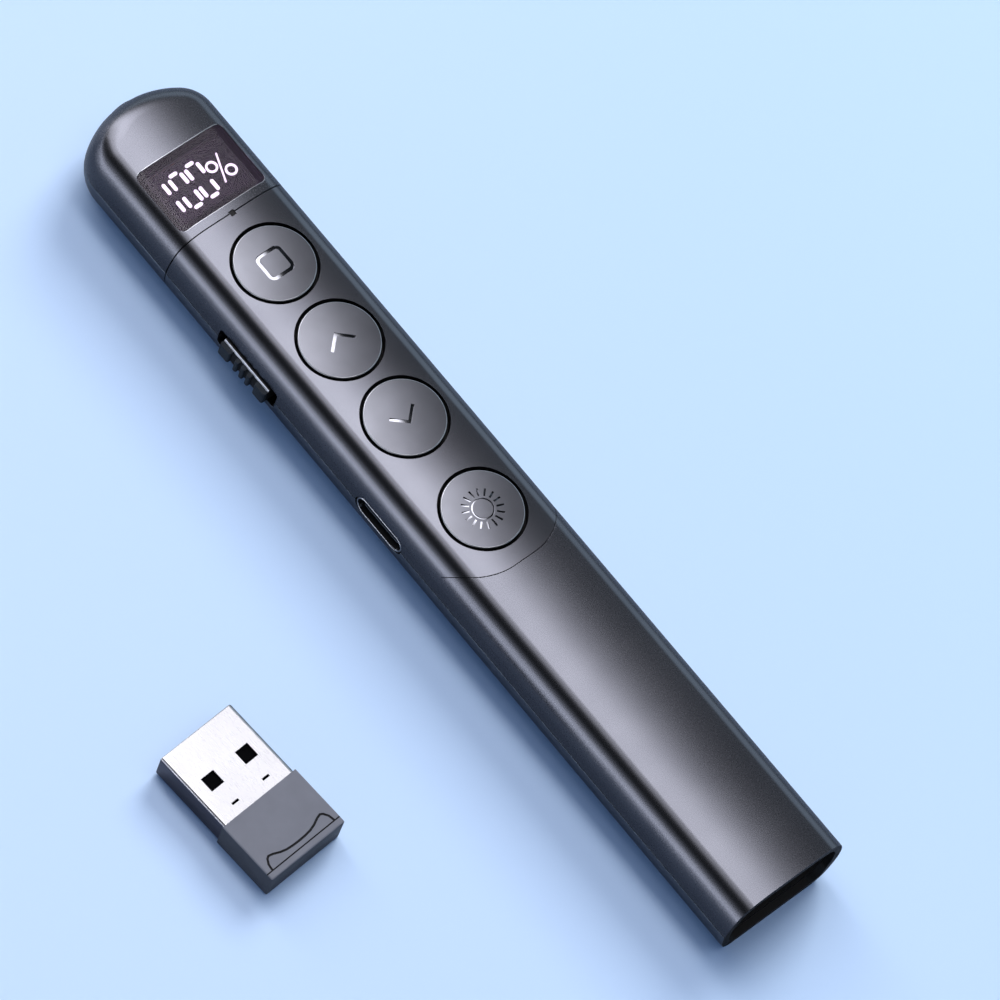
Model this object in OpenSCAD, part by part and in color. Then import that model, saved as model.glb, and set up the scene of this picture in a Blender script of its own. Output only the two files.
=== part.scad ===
// Wireless presentation clicker with its USB receiver, in millimetres.
// The clicker lies flat on its underside: +X to the nose, +Y to the switch side, +Z up.
// The origin is the middle of the flat underside.

/* [Body] */
// Length from the tail to the nose tip
body_length = 133.8; // [130:0.2:146]
// Width at the parting line
body_width = 19.6; // [19.2:0.1:21.6]
// Height over the flat underside
body_height = 12.2; // [12:0.1:13.4]
// Height of the parting line above the underside
parting_height = 5.9; // [5.7:0.1:6.2]
// Wall thickness of the four shells
wall = 1.2; // [1.1:0.05:1.3]
// Radius of the upper shoulders
shoulder_r = 3; // [2.6:0.1:3.2]
// Fall of the top from its flat middle to the shoulders
top_crown = 0.4; // [0.3:0.05:0.5]
// Lean of the sides between the parting line and the shoulders
side_lean = 0.75; // [0.5:0.05:0.9]
// Radius of the lower corners
belly_r = 2.6; // [2.3:0.1:2.9]
// Lean of the lower sides between the parting line and the lower corners
belly_lean = 0.75; // [0.5:0.05:1]
// Radius of the two corners of the nose, seen from above
nose_corner_r = 5.8; // [5.6:0.1:6.2]
// Radius of the front of the nose, seen from above
nose_front_r = 12.8; // [12:0.2:16]
// Distance from the nose tip back to the seam of the head
seam_from_nose = 21.9; // [21.7:0.1:22.6]
// Open width of the seam and of the parting line
shadow_gap = 0.15; // [0.1:0.01:0.2]
// Height of the lip that locates the lower shells in the upper ones
lip_height = 0.8; // [0.5:0.1:1]

/* [Keys] */
// Radius of a round key
key_r = 5.5; // [5.2:0.05:5.6]
// Radial gap round a key
key_gap = 0.4; // [0.3:0.05:0.45]
// Height of a key's face over the top of the body
key_proud = 0.1; // [0:0.05:0.3]
// Rise of a key's face from its edge to its middle
key_dome = 0.1; // [0.06:0.02:0.2]
// Chamfer round a key's face
key_chamfer = 0.2; // [0.1:0.05:0.3]
// How far a key goes down
key_travel = 0.4; // [0.2:0.05:0.45]
// Distance between the first three keys
key_pitch = 13.2; // [13.2:0.1:13.6]
// Distance from the third key to the spotlight key
spotlight_gap = 15.6; // [14.4:0.1:16.4]
// Distance from the head's seam to the first key
first_key_from_seam = 8.7; // [8.6:0.1:9]
// Thickness of the inlaid key panel
panel_t = 0.5; // [0.4:0.05:0.6]
// Length of the panel behind the spotlight key's middle
panel_tail = 8.3; // [7.6:0.1:9]
// Gap round the panel
panel_gap = 0.08; // [0.06:0.01:0.15]

/* [Display] */
// Length of the window along the body
window_length = 9.8; // [9.4:0.1:10]
// Width of the window across the body
window_width = 14; // [13.6:0.1:14.4]
// Thickness of the window
window_t = 0.7; // [0.6:0.05:0.8]
// Recess of the window below the surface
window_recess = 0.12; // [0.05:0.01:0.2]
// Distance from the head's seam to the window
window_from_seam = 1.5; // [1.4:0.05:1.7]
// Height of a lit digit
digit_height = 5.8; // [5:0.1:6.2]
// Width of a lit bar
bar_w = 0.5; // [0.4:0.05:0.6]

/* [Side switch and charging port] */
// Length of the switch's thumb piece
knob_length = 9; // [8:0.1:9.4]
// Height of the thumb piece
knob_height = 2.8; // [2.4:0.1:3]
// How far the thumb piece stands out of the side
knob_proud = 0.95; // [0.6:0.05:1.2]
// Number of grip grooves in the thumb piece
knob_grooves = 5; // [3:1:7]
// Travel of the switch to each side of its middle
switch_travel = 1; // [0.6:0.1:1.2]
// Gap round the thumb piece in its slot
knob_gap = 0.3; // [0.25:0.05:0.4]
// Distance from the head's seam to the middle of the switch
switch_from_seam = 16.5; // [15.5:0.1:18]
// Distance from the head's seam to the middle of the charging port
port_from_seam = 43.2; // [42:0.1:45]
// Outside width of the port's shell
port_w = 8.94; // [8.94:0.02:9]
// Outside height of the port's shell
port_h = 3.26; // [3.2:0.02:3.3]
// Wall of the port's shell
port_wall = 0.3; // [0.25:0.05:0.35]
// Depth of the port's shell
port_depth = 7.3; // [7:0.1:7.6]

/* [Inside] */
// Width of the circuit board
board_w = 13.6; // [12.6:0.1:14]
// Thickness of the circuit board
board_t = 1; // [0.8:0.1:1.2]
// Width of a tact switch
tact_w = 4.5; // [4:0.1:5]
// Height of a tact switch without its plunger
tact_h = 3.6; // [3.2:0.1:3.8]
// Length of the battery
battery_l = 24.5; // [20:0.5:24.5]
// Width of the battery
battery_w = 12.6; // [11:0.1:13]
// Height of the battery
battery_h = 7; // [6:0.1:7.4]
// Radius of the laser barrel
laser_r = 3; // [2.6:0.1:3.1]
// Length of the laser barrel
laser_l = 7.6; // [7:0.1:7.8]
// Radius of the light opening in the nose
nose_bore_r = 2.45; // [2:0.05:2.6]
// Radius of a screw's head
screw_head_r = 1.4; // [1.2:0.05:1.5]
// Radius of a screw's shank
screw_r = 0.7; // [0.5:0.05:0.8]
// Length of a screw's shank
screw_l = 2.8; // [2.4:0.1:2.8]

/* [Receiver and its bay] */
// Width of the receiver's plug
plug_w = 12; // [12:0.05:12.1]
// Height of the receiver's plug
plug_h = 4.5; // [4.5:0.05:4.6]
// Length of the plug that shows
plug_l = 11.7; // [11.5:0.05:12]
// Sheet thickness of the plug
plug_wall = 0.3; // [0.25:0.05:0.35]
// Width of the receiver's cap
cap_w = 12.5; // [12.3:0.1:12.8]
// Height of the receiver's cap
cap_h = 4.9; // [4.8:0.1:5.2]
// Length of the receiver's cap
cap_l = 9.1; // [8.6:0.1:9.6]
// Clearance round the receiver in its bay
bay_gap = 0.25; // [0.2:0.05:0.3]
// Depth of the open mouth before the bay
mouth_depth = 4.4; // [4.2:0.1:5]
// Wall of the bay's liner in the mouth
liner_wall = 0.6; // [0.5:0.05:0.7]
// Place of the receiver beside the body, along the body
receiver_x = -18.2; // [-30:0.2:0]
// Place of the receiver beside the body, across it
receiver_y = 45.3; // [30:0.2:60]
// How far the receiver lies turned
receiver_yaw = 3.8; // [-10:0.2:10]

/* [Hidden] */
$fn = 72;

far = 200;
half_w = body_width / 2;
tail_x = -body_length / 2;
tip_x = body_length / 2;
seam_x = tip_x - seam_from_nose;

// A length on a fine binary grid, so that a profile that is moved to its axis ends there exactly.
function on_grid(length) = round(length * 1024) / 1024;

// Nose, seen from above: a front arc between two corner arcs, all tangent.
nose_side = on_grid(half_w - nose_corner_r);
nose_axis = on_grid(half_w - nose_front_r);
nose_arc_back = sqrt(pow(nose_side - nose_axis, 2) - pow(nose_side, 2));
nose_angle = atan2(nose_side, nose_arc_back);
nose_front_x = tip_x - half_w + nose_axis;
nose_corner_x = nose_front_x + nose_arc_back;

// Cross-section: tangent arcs from the flat middle of the top to the flat underside.
// Radius of an arc that leaves one tangent line and meets a smaller arc that lies "dip" inside it.
function blend_r(run, r, dip) = (run * run + (r + dip) * (r + dip) - r * r) / (2 * dip);
shoulder_y = half_w - shoulder_r - side_lean;
shoulder_z = body_height - shoulder_r - top_crown;
crown_r = blend_r(shoulder_y - nose_side, shoulder_r, top_crown);
crown_z = body_height - crown_r;
side_r = blend_r(shoulder_z - parting_height, shoulder_r, side_lean);
belly_y = half_w - belly_r - belly_lean;
belly_side_r = blend_r(parting_height - belly_r, belly_r, belly_lean);
crown_end = atan2(shoulder_z - crown_z, shoulder_y - nose_side);
side_end = atan2(shoulder_z - parting_height, shoulder_y - (half_w - side_r));
belly_end = atan2(belly_r - parting_height, belly_y - (half_w - belly_side_r));
// Largest turn between two points of an arc
section_step = 6;
// Each arc: centre across, centre up, radius, first and last angle.
section_arcs = [
    [nose_side, crown_z, crown_r, 90, crown_end],
    [shoulder_y, shoulder_z, shoulder_r, crown_end, side_end],
    [half_w - side_r, parting_height, side_r, side_end, 0],
    [half_w - belly_side_r, parting_height, belly_side_r, 0, belly_end],
    [belly_y, belly_r, belly_r, belly_end, -90]
];

// Keys
key_x = [
    seam_x - first_key_from_seam,
    seam_x - first_key_from_seam - key_pitch,
    seam_x - first_key_from_seam - 2 * key_pitch,
    seam_x - first_key_from_seam - 2 * key_pitch - spotlight_gap
];
key_hole_r = key_r + key_gap;
flange_r = key_hole_r + 0.45;
collar_r = key_hole_r + 0.8;
// Height on the inner shoulder that a flat flange still clears.
collar_z = shoulder_z + sqrt(pow(shoulder_r - wall, 2) - pow(flange_r + 0.15 - shoulder_y, 2));
flange_top = collar_z - 0.15;
flange_t = 0.8;
stem_r = 1.6;
// Points on a key's face between its edge and its middle
dome_steps = 6;

// Board and what stands on it
board_top = parting_height - port_h / 2;
board_bottom = board_top - board_t;
board_front = seam_x + 9.8;
board_back = key_x[3] - 4.6;
plunger_r = 1.1;
plunger_top = board_top + tact_h + 0.7;
stem_end = plunger_top + key_travel + 0.05;

// Panel, with its side edges high in the shoulders
panel_corner_r = 8;
panel_end_x = key_x[3] - panel_tail;
panel_edge_z = shoulder_z + 0.4;

// Window and display
window_x0 = seam_x + window_from_seam;
window_x1 = window_x0 + window_length;
window_corner_r = 0.9;
ledge = 0.9;
ledge_depth = window_recess + window_t + 0.5;
fit_gap = 0.05;
module_w = window_width - 2 * ledge - 0.4;
module_l = window_length - 2 * ledge - 0.3;
module_top = body_height - ledge_depth - 0.2;
module_h = 2;
module_x = (window_x0 + window_x1) / 2;
segment_t = 0.12;
bar_l = digit_height / 2 - 1.15;
bar_reach = (digit_height - bar_w) / 2;
digit_half = 0.95;
digit_y = [2.3, -0.4];
one_y = 4.3;
percent_y = -3.55;

// Light on the seam, and its source on the board
light_w = 0.8;
led_l = 1.2;
led_w = 1.6;
led_h = 0.7;

// Leads and pins
pin_r = 0.25;
pin_pitch = 1.27;
lead_r = 0.3;

// Side switch
slot_half = knob_length / 2 + switch_travel + knob_gap;
slot_h = knob_height + 2 * knob_gap;
switch_x = seam_x - switch_from_seam;
plate_l = 2 * slot_half + 2 * switch_travel + 0.4;
plate_h = slot_h + 0.6;
plate_t = 0.5;
groove_r = 0.42;
// Inner face of the side wall at the plate's edge.
plate_y = half_w - wall - 0.3
    - max(side_r - sqrt(side_r * side_r - plate_h * plate_h / 4),
          belly_side_r - sqrt(belly_side_r * belly_side_r - plate_h * plate_h / 4));
case_l = 9;
case_d = 3.4;
case_h = port_h + 0.2;
case_y1 = board_w / 2 - 0.3;
lever_w = 1.6;
lever_h = 1.5;
lever_gap = 0.1;

// Charging port
port_x = seam_x - port_from_seam;
port_face = half_w - 0.16;
port_gap = 0.12;
plug_in = 6.2;
// Blade of the port's tongue, set back from the port's face
blade_w = 6.7;
blade_t = 0.7;
blade_back = 0.8;

// Laser
laser_z = parting_height;
lens_r = nose_bore_r - 0.85;
bezel_back = nose_front_x + sqrt(pow(nose_front_r - wall, 2) - pow(nose_bore_r + 0.6, 2)) - 0.95;
laser_front = bezel_back - 0.6;
laser_back = laser_front - laser_l;

// Receiver bay
bay_l = plug_l + cap_l;
pocket_w = cap_w + 2 * bay_gap;
pocket_h = cap_h + 2 * bay_gap;
pocket_z0 = parting_height - 1.55;
liner_x0 = tail_x + mouth_depth;
pocket_end = tail_x + bay_l + bay_gap;
liner_x1 = pocket_end + 1.6;
magnet_r = 2;
magnet_t = 1.2;

// Receiver: a sheet plug round a plastic tongue, both held in the cap
plug_z0 = (cap_h - plug_h) / 2;
plug_root = 4;
plug_window = 2.1;
plug_window_y = 2.9;
plug_slot = [0.3, 1.1];
plug_slot_x = 1.4;
plug_slot_y = 2.6;
tongue_t = 1.9;
tongue_back = 0.6;
tongue_z = plug_z0 + plug_h - plug_wall - tongue_t;
contact_t = 0.15;
contact_w = 1;
contact_pitch = 2.2;
receiver_board_t = 0.8;

// Screws: under the bay, under the gap behind the spotlight key, and two in the board
screw_head_h = 0.6;
screw_sink = 0.1;
pilot_r = screw_r + 0.05;
boss_r = 1.9;
shell_screw_x = [liner_x0 + 8, key_x[3] - flange_r - 0.4 - boss_r];
board_screw_x = [(key_x[0] + key_x[1]) / 2, (key_x[2] + key_x[3]) / 2];

// Battery, between two ribs of the lower shell
tray_rib = 0.9;
rib_gap = 0.3;
battery_x0 = liner_x1 + 1.5;
battery_x1 = min(battery_x0 + battery_l, shell_screw_x[1] - boss_r - tray_rib - 2 * rib_gap);
pad_t = 0.5;
battery_z0 = wall + pad_t;

module slab(x0, x1, z0, z1) {
    translate([x0, -far, z0]) cube([x1 - x0, 2 * far, z1 - z0]);
}

module disc_x(r, x0, x1, y = 0, z = 0) {
    translate([x0, y, z]) rotate([0, 90, 0]) cylinder(r = r, h = x1 - x0);
}

// ---- cross-section and body form ----

// Points of one section arc, without its last one.
function arc_points(a, inset) =
    let (count = ceil(abs(a[4] - a[3]) / section_step))
    [for (i = [0 : count - 1])
        let (angle = a[3] + (a[4] - a[3]) * i / count)
        [a[0] + (a[2] - inset) * cos(angle), a[1] + (a[2] - inset) * sin(angle)]];

// One side of the section, from the flat middle of the top to the flat underside.
function side_points(inset) =
    concat([for (a = section_arcs) each arc_points(a, inset)], [[belly_y, inset]]);

function mirrored(points) =
    [for (i = [len(points) - 1 : -1 : 0]) [-points[i][0], points[i][1]]];

module section(inset) {
    side = side_points(inset);
    polygon(concat(side, mirrored(side)));
}

// One side of the section, closed along the line u = axis and moved so that the line is the axis.
module half_section(inset, axis) {
    inner = axis < nose_side ? [[axis, body_height - inset]] : [];
    translate([-axis, 0]) polygon(concat(inner, side_points(inset), [[axis, inset]]));
}

// The whole body's form, "inset" inside its surface. Overrun carries it out past the tail.
// The run goes back from the nose corners, and each turn starts at a plane that it shares.
module body_form(inset = 0, overrun = 0) {
    translate([nose_front_x, 0, 0]) {
        translate([nose_arc_back, 0, 0]) rotate([90, 0, -90])
            linear_extrude(nose_corner_x - tail_x + overrun) section(inset);
        for (m = [0, 1]) mirror([0, m, 0]) {
            translate([nose_arc_back, nose_side, 0]) mirror([1, -1, 0])
                rotate_extrude(angle = 90 - nose_angle, $fn = 90) half_section(inset, nose_side);
            rotate_extrude(angle = nose_angle, $fn = 90) half_section(inset, nose_axis);
        }
    }
}

// A sleeve that follows the body, between two insets and two stations.
module sleeve(inset0, inset1, x0, x1) {
    intersection() {
        difference() {
            body_form(inset0, 1);
            body_form(inset1, 2);
        }
        slab(x0, x1, -1, body_height + 1);
    }
}

module upper_skin(x0, x1) {
    difference() {
        intersection() {
            body_form();
            slab(x0, x1, parting_height, body_height + 1);
        }
        body_form(wall, 2);
        // rabbet for the lower shell's lip
        intersection() {
            body_form(wall / 2 - fit_gap, 2);
            slab(x0 - 1, x1 + 1, parting_height - 1, parting_height + lip_height + fit_gap);
        }
    }
}

module lower_skin(x0, x1) {
    difference() {
        union() {
            intersection() {
                body_form();
                slab(x0, x1, -1, parting_height - shadow_gap);
            }
            // lip, on the inner half of the wall
            intersection() {
                body_form(wall / 2);
                slab(x0, x1, parting_height - 1, parting_height + lip_height);
            }
        }
        body_form(wall, 2);
    }
}

// ---- openings that cross the parting line ----

module stadium_y(w, h, y0, y1) {
    for (s = [-1, 1])
        translate([s * (w - h) / 2, y0, 0]) rotate([-90, 0, 0]) cylinder(r = h / 2, h = y1 - y0);
    translate([-(w - h) / 2, y0, -h / 2]) cube([w - h, y1 - y0, h]);
}

module port_hole() {
    translate([port_x, 0, parting_height])
        stadium_y(port_w + 2 * port_gap, port_h + 2 * port_gap, half_w - wall - 2, half_w + 1);
}

module switch_slot() {
    translate([switch_x, 0, parting_height]) rounded_block_y(slot_half, slot_h / 2, 0.6,
        half_w - wall - 1.2, half_w + 1);
}

// A block along Y with rounded corners, given by its half sizes.
module rounded_block_y(hx, hz, r, y0, y1) {
    for (sx = [-1, 1], sz = [-1, 1])
        translate([sx * (hx - r), y0, sz * (hz - r)]) rotate([-90, 0, 0]) cylinder(r = r, h = y1 - y0);
    translate([-hx, y0, -hz + r]) cube([2 * hx, y1 - y0, 2 * (hz - r)]);
    translate([-hx + r, y0, -hz]) cube([2 * (hx - r), y1 - y0, 2 * hz]);
}

module nose_bore() {
    disc_x(nose_bore_r, nose_corner_x, tip_x + 1, z = laser_z);
}

// The hole for the status light, half in the head and half in the main shell.
module light_hole() {
    translate([seam_x, 0, body_height]) cube([light_w, light_w, 2 * body_height / 3], center = true);
}

// ---- shells ----

module rounded_plan(x0, x1, half_y, r, z0, z1) {
    for (x = [x0 + r, x1 - r], s = [-1, 1])
        translate([x, s * (half_y - r), z0]) cylinder(r = r, h = z1 - z0);
    translate([x0, -half_y + r, z0]) cube([x1 - x0, 2 * (half_y - r), z1 - z0]);
    translate([x0 + r, -half_y, z0]) cube([x1 - x0 - 2 * r, 2 * half_y, z1 - z0]);
}

module window_plan(grow, z0) {
    rounded_plan(window_x0 - grow, window_x1 + grow, window_width / 2 + grow,
        window_corner_r + max(grow, -0.5), z0, body_height + 1);
}

module head_top_cover() {
    color([0.36, 0.37, 0.40]) {
        difference() {
            union() {
                upper_skin(seam_x + shadow_gap, tip_x + 1);
                // ledge that carries the window
                intersection() {
                    difference() {
                        body_form(wall / 2);
                        body_form(ledge_depth + 0.3);
                    }
                    window_plan(0.4, shoulder_z + 0.6);
                }
            }
            // pocket for the window, down to the ledge
            difference() {
                window_plan(fit_gap, shoulder_z);
                body_form(window_recess + window_t);
            }
            window_plan(-ledge, shoulder_z);
            nose_bore();
            light_hole();
        }
    }
}

// A rib across the lower head with a half-round seat for the laser barrel.
module laser_seat(x) {
    difference() {
        intersection() {
            body_form(wall - 0.1);
            slab(x - 0.5, x + 0.5, 0.5, laser_z - 1.2);
        }
        disc_x(laser_r + fit_gap, x - 1, x + 1, z = laser_z);
    }
}

module head_bottom_cover() {
    color([0.30, 0.32, 0.36]) {
        difference() {
            union() {
                lower_skin(seam_x + shadow_gap, tip_x + 1);
                laser_seat(laser_back + 1.5);
                laser_seat(laser_front - 1.5);
            }
            nose_bore();
        }
    }
}

module panel_plan(grow, z0) {
    x0 = panel_end_x - grow;
    for (s = [-1, 1])
        translate([x0 + panel_corner_r, s * (half_w - panel_corner_r), z0])
            cylinder(r = panel_corner_r, h = body_height + 1 - z0, $fn = 180);
    translate([x0, -half_w + panel_corner_r, z0])
        cube([panel_corner_r, 2 * (half_w - panel_corner_r), body_height + 1 - z0]);
    translate([x0 + panel_corner_r, -half_w, z0])
        cube([seam_x - x0 - panel_corner_r + 1, 2 * half_w, body_height + 1 - z0]);
}

module key_holes(r) {
    for (x = key_x)
        translate([x, 0, board_top]) cylinder(r = r, h = body_height);
}

module main_top_shell() {
    color([0.36, 0.37, 0.40]) {
        difference() {
            union() {
                upper_skin(tail_x, seam_x);
                // flat seats round the key holes
                intersection() {
                    body_form(wall - 0.1);
                    for (x = key_x)
                        translate([x, 0, collar_z]) cylinder(r = collar_r, h = body_height);
                }
                shell_boss(shell_screw_x[1]);
            }
            // recess of the key panel
            difference() {
                panel_plan(panel_gap, panel_edge_z);
                body_form(panel_t, 1);
            }
            key_holes(key_hole_r);
            port_hole();
            switch_slot();
            light_hole();
        }
    }
}

// A post from the top down to the lower shell, with the screw's pilot hole.
module shell_boss(x) {
    difference() {
        translate([x, 0, wall]) cylinder(r = boss_r, h = body_height - wall - wall / 2);
        translate([x, 0, wall - 1]) cylinder(r = pilot_r, h = 1 + screw_l);
    }
}

module battery_rib(x0) {
    intersection() {
        body_form(wall - 0.1);
        slab(x0, x0 + tray_rib, 0.5, parting_height - 1.5);
    }
}

module board_post(x) {
    translate([x, 0, wall / 2]) cylinder(r = boss_r, h = board_bottom - wall / 2);
}

module main_bottom_shell() {
    color([0.30, 0.32, 0.36]) {
        difference() {
            union() {
                lower_skin(tail_x, seam_x);
                battery_rib(battery_x0 - rib_gap - tray_rib);
                battery_rib(battery_x1 + rib_gap);
                for (x = board_screw_x) board_post(x);
            }
            for (x = shell_screw_x) {
                translate([x, 0, -1]) cylinder(r = screw_r + 0.1, h = wall + 2);
                translate([x, 0, -1]) cylinder(r = screw_head_r + 0.15, h = 1 + screw_sink + screw_head_h);
            }
            for (x = board_screw_x)
                translate([x, 0, board_top - screw_l - 0.1]) cylinder(r = pilot_r, h = screw_l);
            port_hole();
            switch_slot();
        }
    }
}

module key_panel() {
    color([0.38, 0.39, 0.42]) {
        difference() {
            intersection() {
                difference() {
                    body_form();
                    body_form(panel_t, 1);
                }
                panel_plan(0, panel_edge_z);
                slab(tail_x, seam_x, 0, body_height + 1);
            }
            key_holes(key_hole_r);
            light_hole();
        }
    }
}

module neck_ring() {
    color([0.16, 0.16, 0.18]) {
        difference() {
            sleeve(wall + fit_gap, wall + 0.75, seam_x - 1.8, window_x0 - 0.45);
            light_hole();
        }
    }
}

// ---- display ----

module display_window() {
    color([0.20, 0.16, 0.22]) {
        intersection() {
            difference() {
                body_form(window_recess);
                body_form(window_recess + window_t);
            }
            window_plan(0, shoulder_z);
        }
    }
}

module display_module() {
    color([0.08, 0.07, 0.09]) {
        translate([module_x - module_l / 2, -module_w / 2, module_top - module_h])
            cube([module_l, module_w, module_h]);
    }
}

// A bar with round ends, from one point to another in the plane of the display.
module bar(a, b, w) {
    d = b - a;
    for (p = [a, b])
        translate([p[0], p[1], 0]) cylinder(r = w / 2, h = segment_t);
    translate([a[0], a[1], 0]) rotate([0, 0, atan2(d[1], d[0])])
        translate([0, -w / 2, 0]) cube([norm(d), w, segment_t]);
}

module digit_side(y) {
    for (s = [-1, 1])
        bar([s * (bar_reach - 0.55), y], [s * (bar_reach - 0.55 - bar_l + bar_w), y], bar_w);
}

module digit_zero(y) {
    for (s = [-1, 1]) {
        digit_side(y + s * digit_half);
        bar([s * bar_reach, y - 0.4], [s * bar_reach, y + 0.4], bar_w);
    }
}

module percent_ring(x, y) {
    translate([x, y, 0]) difference() {
        cylinder(r = 0.85, h = segment_t);
        translate([0, 0, -1]) cylinder(r = 0.55, h = segment_t + 2);
    }
}

module display_segments() {
    color([0.95, 0.95, 0.95])
        translate([module_x, 0, module_top]) {
            digit_side(one_y);
            for (y = digit_y) digit_zero(y);
            bar([digit_height / 3, percent_y - 0.75], [-digit_height / 3, percent_y + 0.75], 0.22);
            percent_ring(0.75, percent_y + 0.95);
            percent_ring(-0.95, percent_y - 0.95);
        }
}

module display_pins() {
    color([0.75, 0.72, 0.62])
        for (i = [-2 : 2], s = [-1, 1])
            translate([module_x + i * pin_pitch, s * (module_w / 2 - 1), board_top])
                cylinder(r = pin_r, h = module_top - module_h - board_top);
}

module status_led() {
    color([0.9, 0.88, 0.8])
        translate([seam_x - led_l / 2, -led_w / 2, board_top]) cube([led_l, led_w, led_h]);
}

module status_light() {
    color([0.1, 0.1, 0.12])
        translate([seam_x - light_w / 2 + fit_gap, -light_w / 2 + fit_gap, board_top + led_h])
            cube([light_w - 2 * fit_gap, light_w - 2 * fit_gap,
                body_height - 0.15 - board_top - led_h]);
}

// ---- laser ----

module laser_bezel() {
    color([0.12, 0.12, 0.13])
        difference() {
            union() {
                disc_x(nose_bore_r - fit_gap, bezel_back, tip_x - 0.25, z = laser_z);
                disc_x(nose_bore_r + 0.5, laser_front, bezel_back, z = laser_z);
            }
            disc_x(lens_r, laser_front - 1, tip_x + 1, z = laser_z);
            disc_x(lens_r + 0.4, bezel_back, bezel_back + 0.8, z = laser_z);
        }
}

module laser_lens() {
    color([0.55, 0.1, 0.12])
        disc_x(lens_r + 0.4, bezel_back, bezel_back + 0.8, z = laser_z);
}

module laser_barrel() {
    color([0.78, 0.62, 0.30])
        difference() {
            disc_x(laser_r, laser_back, laser_front, z = laser_z);
            disc_x(lens_r - 0.4, laser_front - 3, laser_front + 1, z = laser_z);
        }
}

// A lead that leaves along -X, bends down and ends on the board.
module lead_down(x0, x1, y, z) {
    disc_x(lead_r, x1, x0, y, z);
    translate([x1, y, z]) sphere(r = lead_r);
    translate([x1, y, board_top]) cylinder(r = lead_r, h = z - board_top);
}

module laser_leads() {
    color([0.7, 0.1, 0.1])
        for (s = [-1, 1])
            lead_down(laser_back, board_front - 1, s * 0.8, laser_z);
}

// ---- keys ----

// Points of a face that rises from its edge, at radius r, to its middle at height z.
function dome_points(r, z, rise) =
    let (ball_r = (r * r + rise * rise) / (2 * rise), edge = asin(r / ball_r))
    [for (i = [dome_steps : -1 : 0])
        let (angle = edge * i / dome_steps)
        [ball_r * sin(angle), z - ball_r + ball_r * cos(angle)]];

// One round key: domed cap, flange under the shell and stem over its tact switch.
module key_form(x) {
    top = body_height + key_proud;
    translate([x, 0, 0]) rotate_extrude($fn = 180) polygon(concat(
        [
            [0, stem_end], [stem_r, stem_end], [stem_r, flange_top - flange_t],
            [flange_r, flange_top - flange_t], [flange_r, flange_top], [key_r, flange_top],
            [key_r, top - key_dome - key_chamfer]
        ],
        dome_points(key_r - key_chamfer, top, key_dome)
    ));
}

module screen_key() { color([0.40, 0.41, 0.44]) key_form(key_x[0]); }
module forward_key() { color([0.40, 0.41, 0.44]) key_form(key_x[1]); }
module back_key() { color([0.40, 0.41, 0.44]) key_form(key_x[2]); }
module spotlight_key() { color([0.40, 0.41, 0.44]) key_form(key_x[3]); }

// ---- board ----

module main_board() {
    color([0.05, 0.28, 0.16])
        difference() {
            translate([board_back, -board_w / 2, board_bottom])
                cube([board_front - board_back, board_w, board_t]);
            for (x = board_screw_x)
                translate([x, 0, board_bottom - 1]) cylinder(r = screw_r + 0.1, h = board_t + 2);
        }
}

module tact_switches() {
    color([0.75, 0.75, 0.77])
        for (x = key_x)
            translate([x - tact_w / 2, -tact_w / 2, board_top]) cube([tact_w, tact_w, tact_h]);
}

module tact_plungers() {
    color([0.15, 0.15, 0.16])
        for (x = key_x)
            translate([x, 0, board_top + tact_h])
                cylinder(r = plunger_r, h = plunger_top - board_top - tact_h);
}

module chip(x, y, l, w, h) {
    translate([x - l / 2, y - w / 2, board_top]) cube([l, w, h]);
}

module board_chips() {
    color([0.1, 0.1, 0.1]) {
        chip(board_screw_x[1], -4.2, 4, 4, 0.85);
        chip((key_x[1] + key_x[2]) / 2, -3.2, 3, 3, 0.75);
        chip((key_x[1] + key_x[2]) / 2, 2.6, 3.2, 1.5, 0.7);
        chip(board_screw_x[0], -4.4, 5, 4, 1.5);
    }
}

// ---- battery ----

module battery() {
    r = 1.2;
    color([0.72, 0.73, 0.75])
        translate([battery_x0, 0, battery_z0]) rotate([90, 0, 90])
            linear_extrude(battery_x1 - battery_x0)
            union() {
                for (s = [-1, 1], z = [r, battery_h - r])
                    translate([s * (battery_w / 2 - r), z]) circle(r = r);
                translate([-battery_w / 2, r]) square([battery_w, battery_h - 2 * r]);
                translate([-battery_w / 2 + r, 0]) square([battery_w - 2 * r, battery_h]);
            }
}

module battery_pad() {
    color([0.9, 0.9, 0.85])
        translate([battery_x0 + 1, -battery_w / 2 + 2, wall])
            cube([battery_x1 - battery_x0 - 2, battery_w - 4, pad_t]);
}

module battery_leads() {
    z = board_top + 1.2;
    color([0.75, 0.08, 0.08])
        for (s = [-1, 1]) translate([0, s * (boss_r + 1.2), 0]) {
            disc_x(lead_r, battery_x1, board_back + 1, 0, z);
            translate([board_back + 1, 0, z]) sphere(r = lead_r);
            translate([board_back + 1, 0, board_top]) cylinder(r = lead_r, h = z - board_top);
        }
}

// ---- side switch ----

module switch_knob() {
    pitch = knob_length / (knob_grooves + 2);
    color([0.28, 0.30, 0.33])
        translate([switch_x, 0, parting_height]) difference() {
            union() {
                rounded_block_y(knob_length / 2, knob_height / 2, 0.5, plate_y, half_w + knob_proud);
                rounded_block_y(plate_l / 2, plate_h / 2, 0.5, plate_y - plate_t, plate_y);
            }
            for (i = [0 : knob_grooves - 1])
                translate([(i - (knob_grooves - 1) / 2) * pitch, half_w + knob_proud + 0.1, -far / 2])
                    cylinder(r = groove_r, h = far);
        }
}

module switch_slider() {
    color([0.9, 0.9, 0.88])
        translate([switch_x - lever_w / 2, case_y1 - 2, parting_height - lever_h / 2])
            cube([lever_w, plate_y - plate_t - case_y1 + 2, lever_h]);
}

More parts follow.
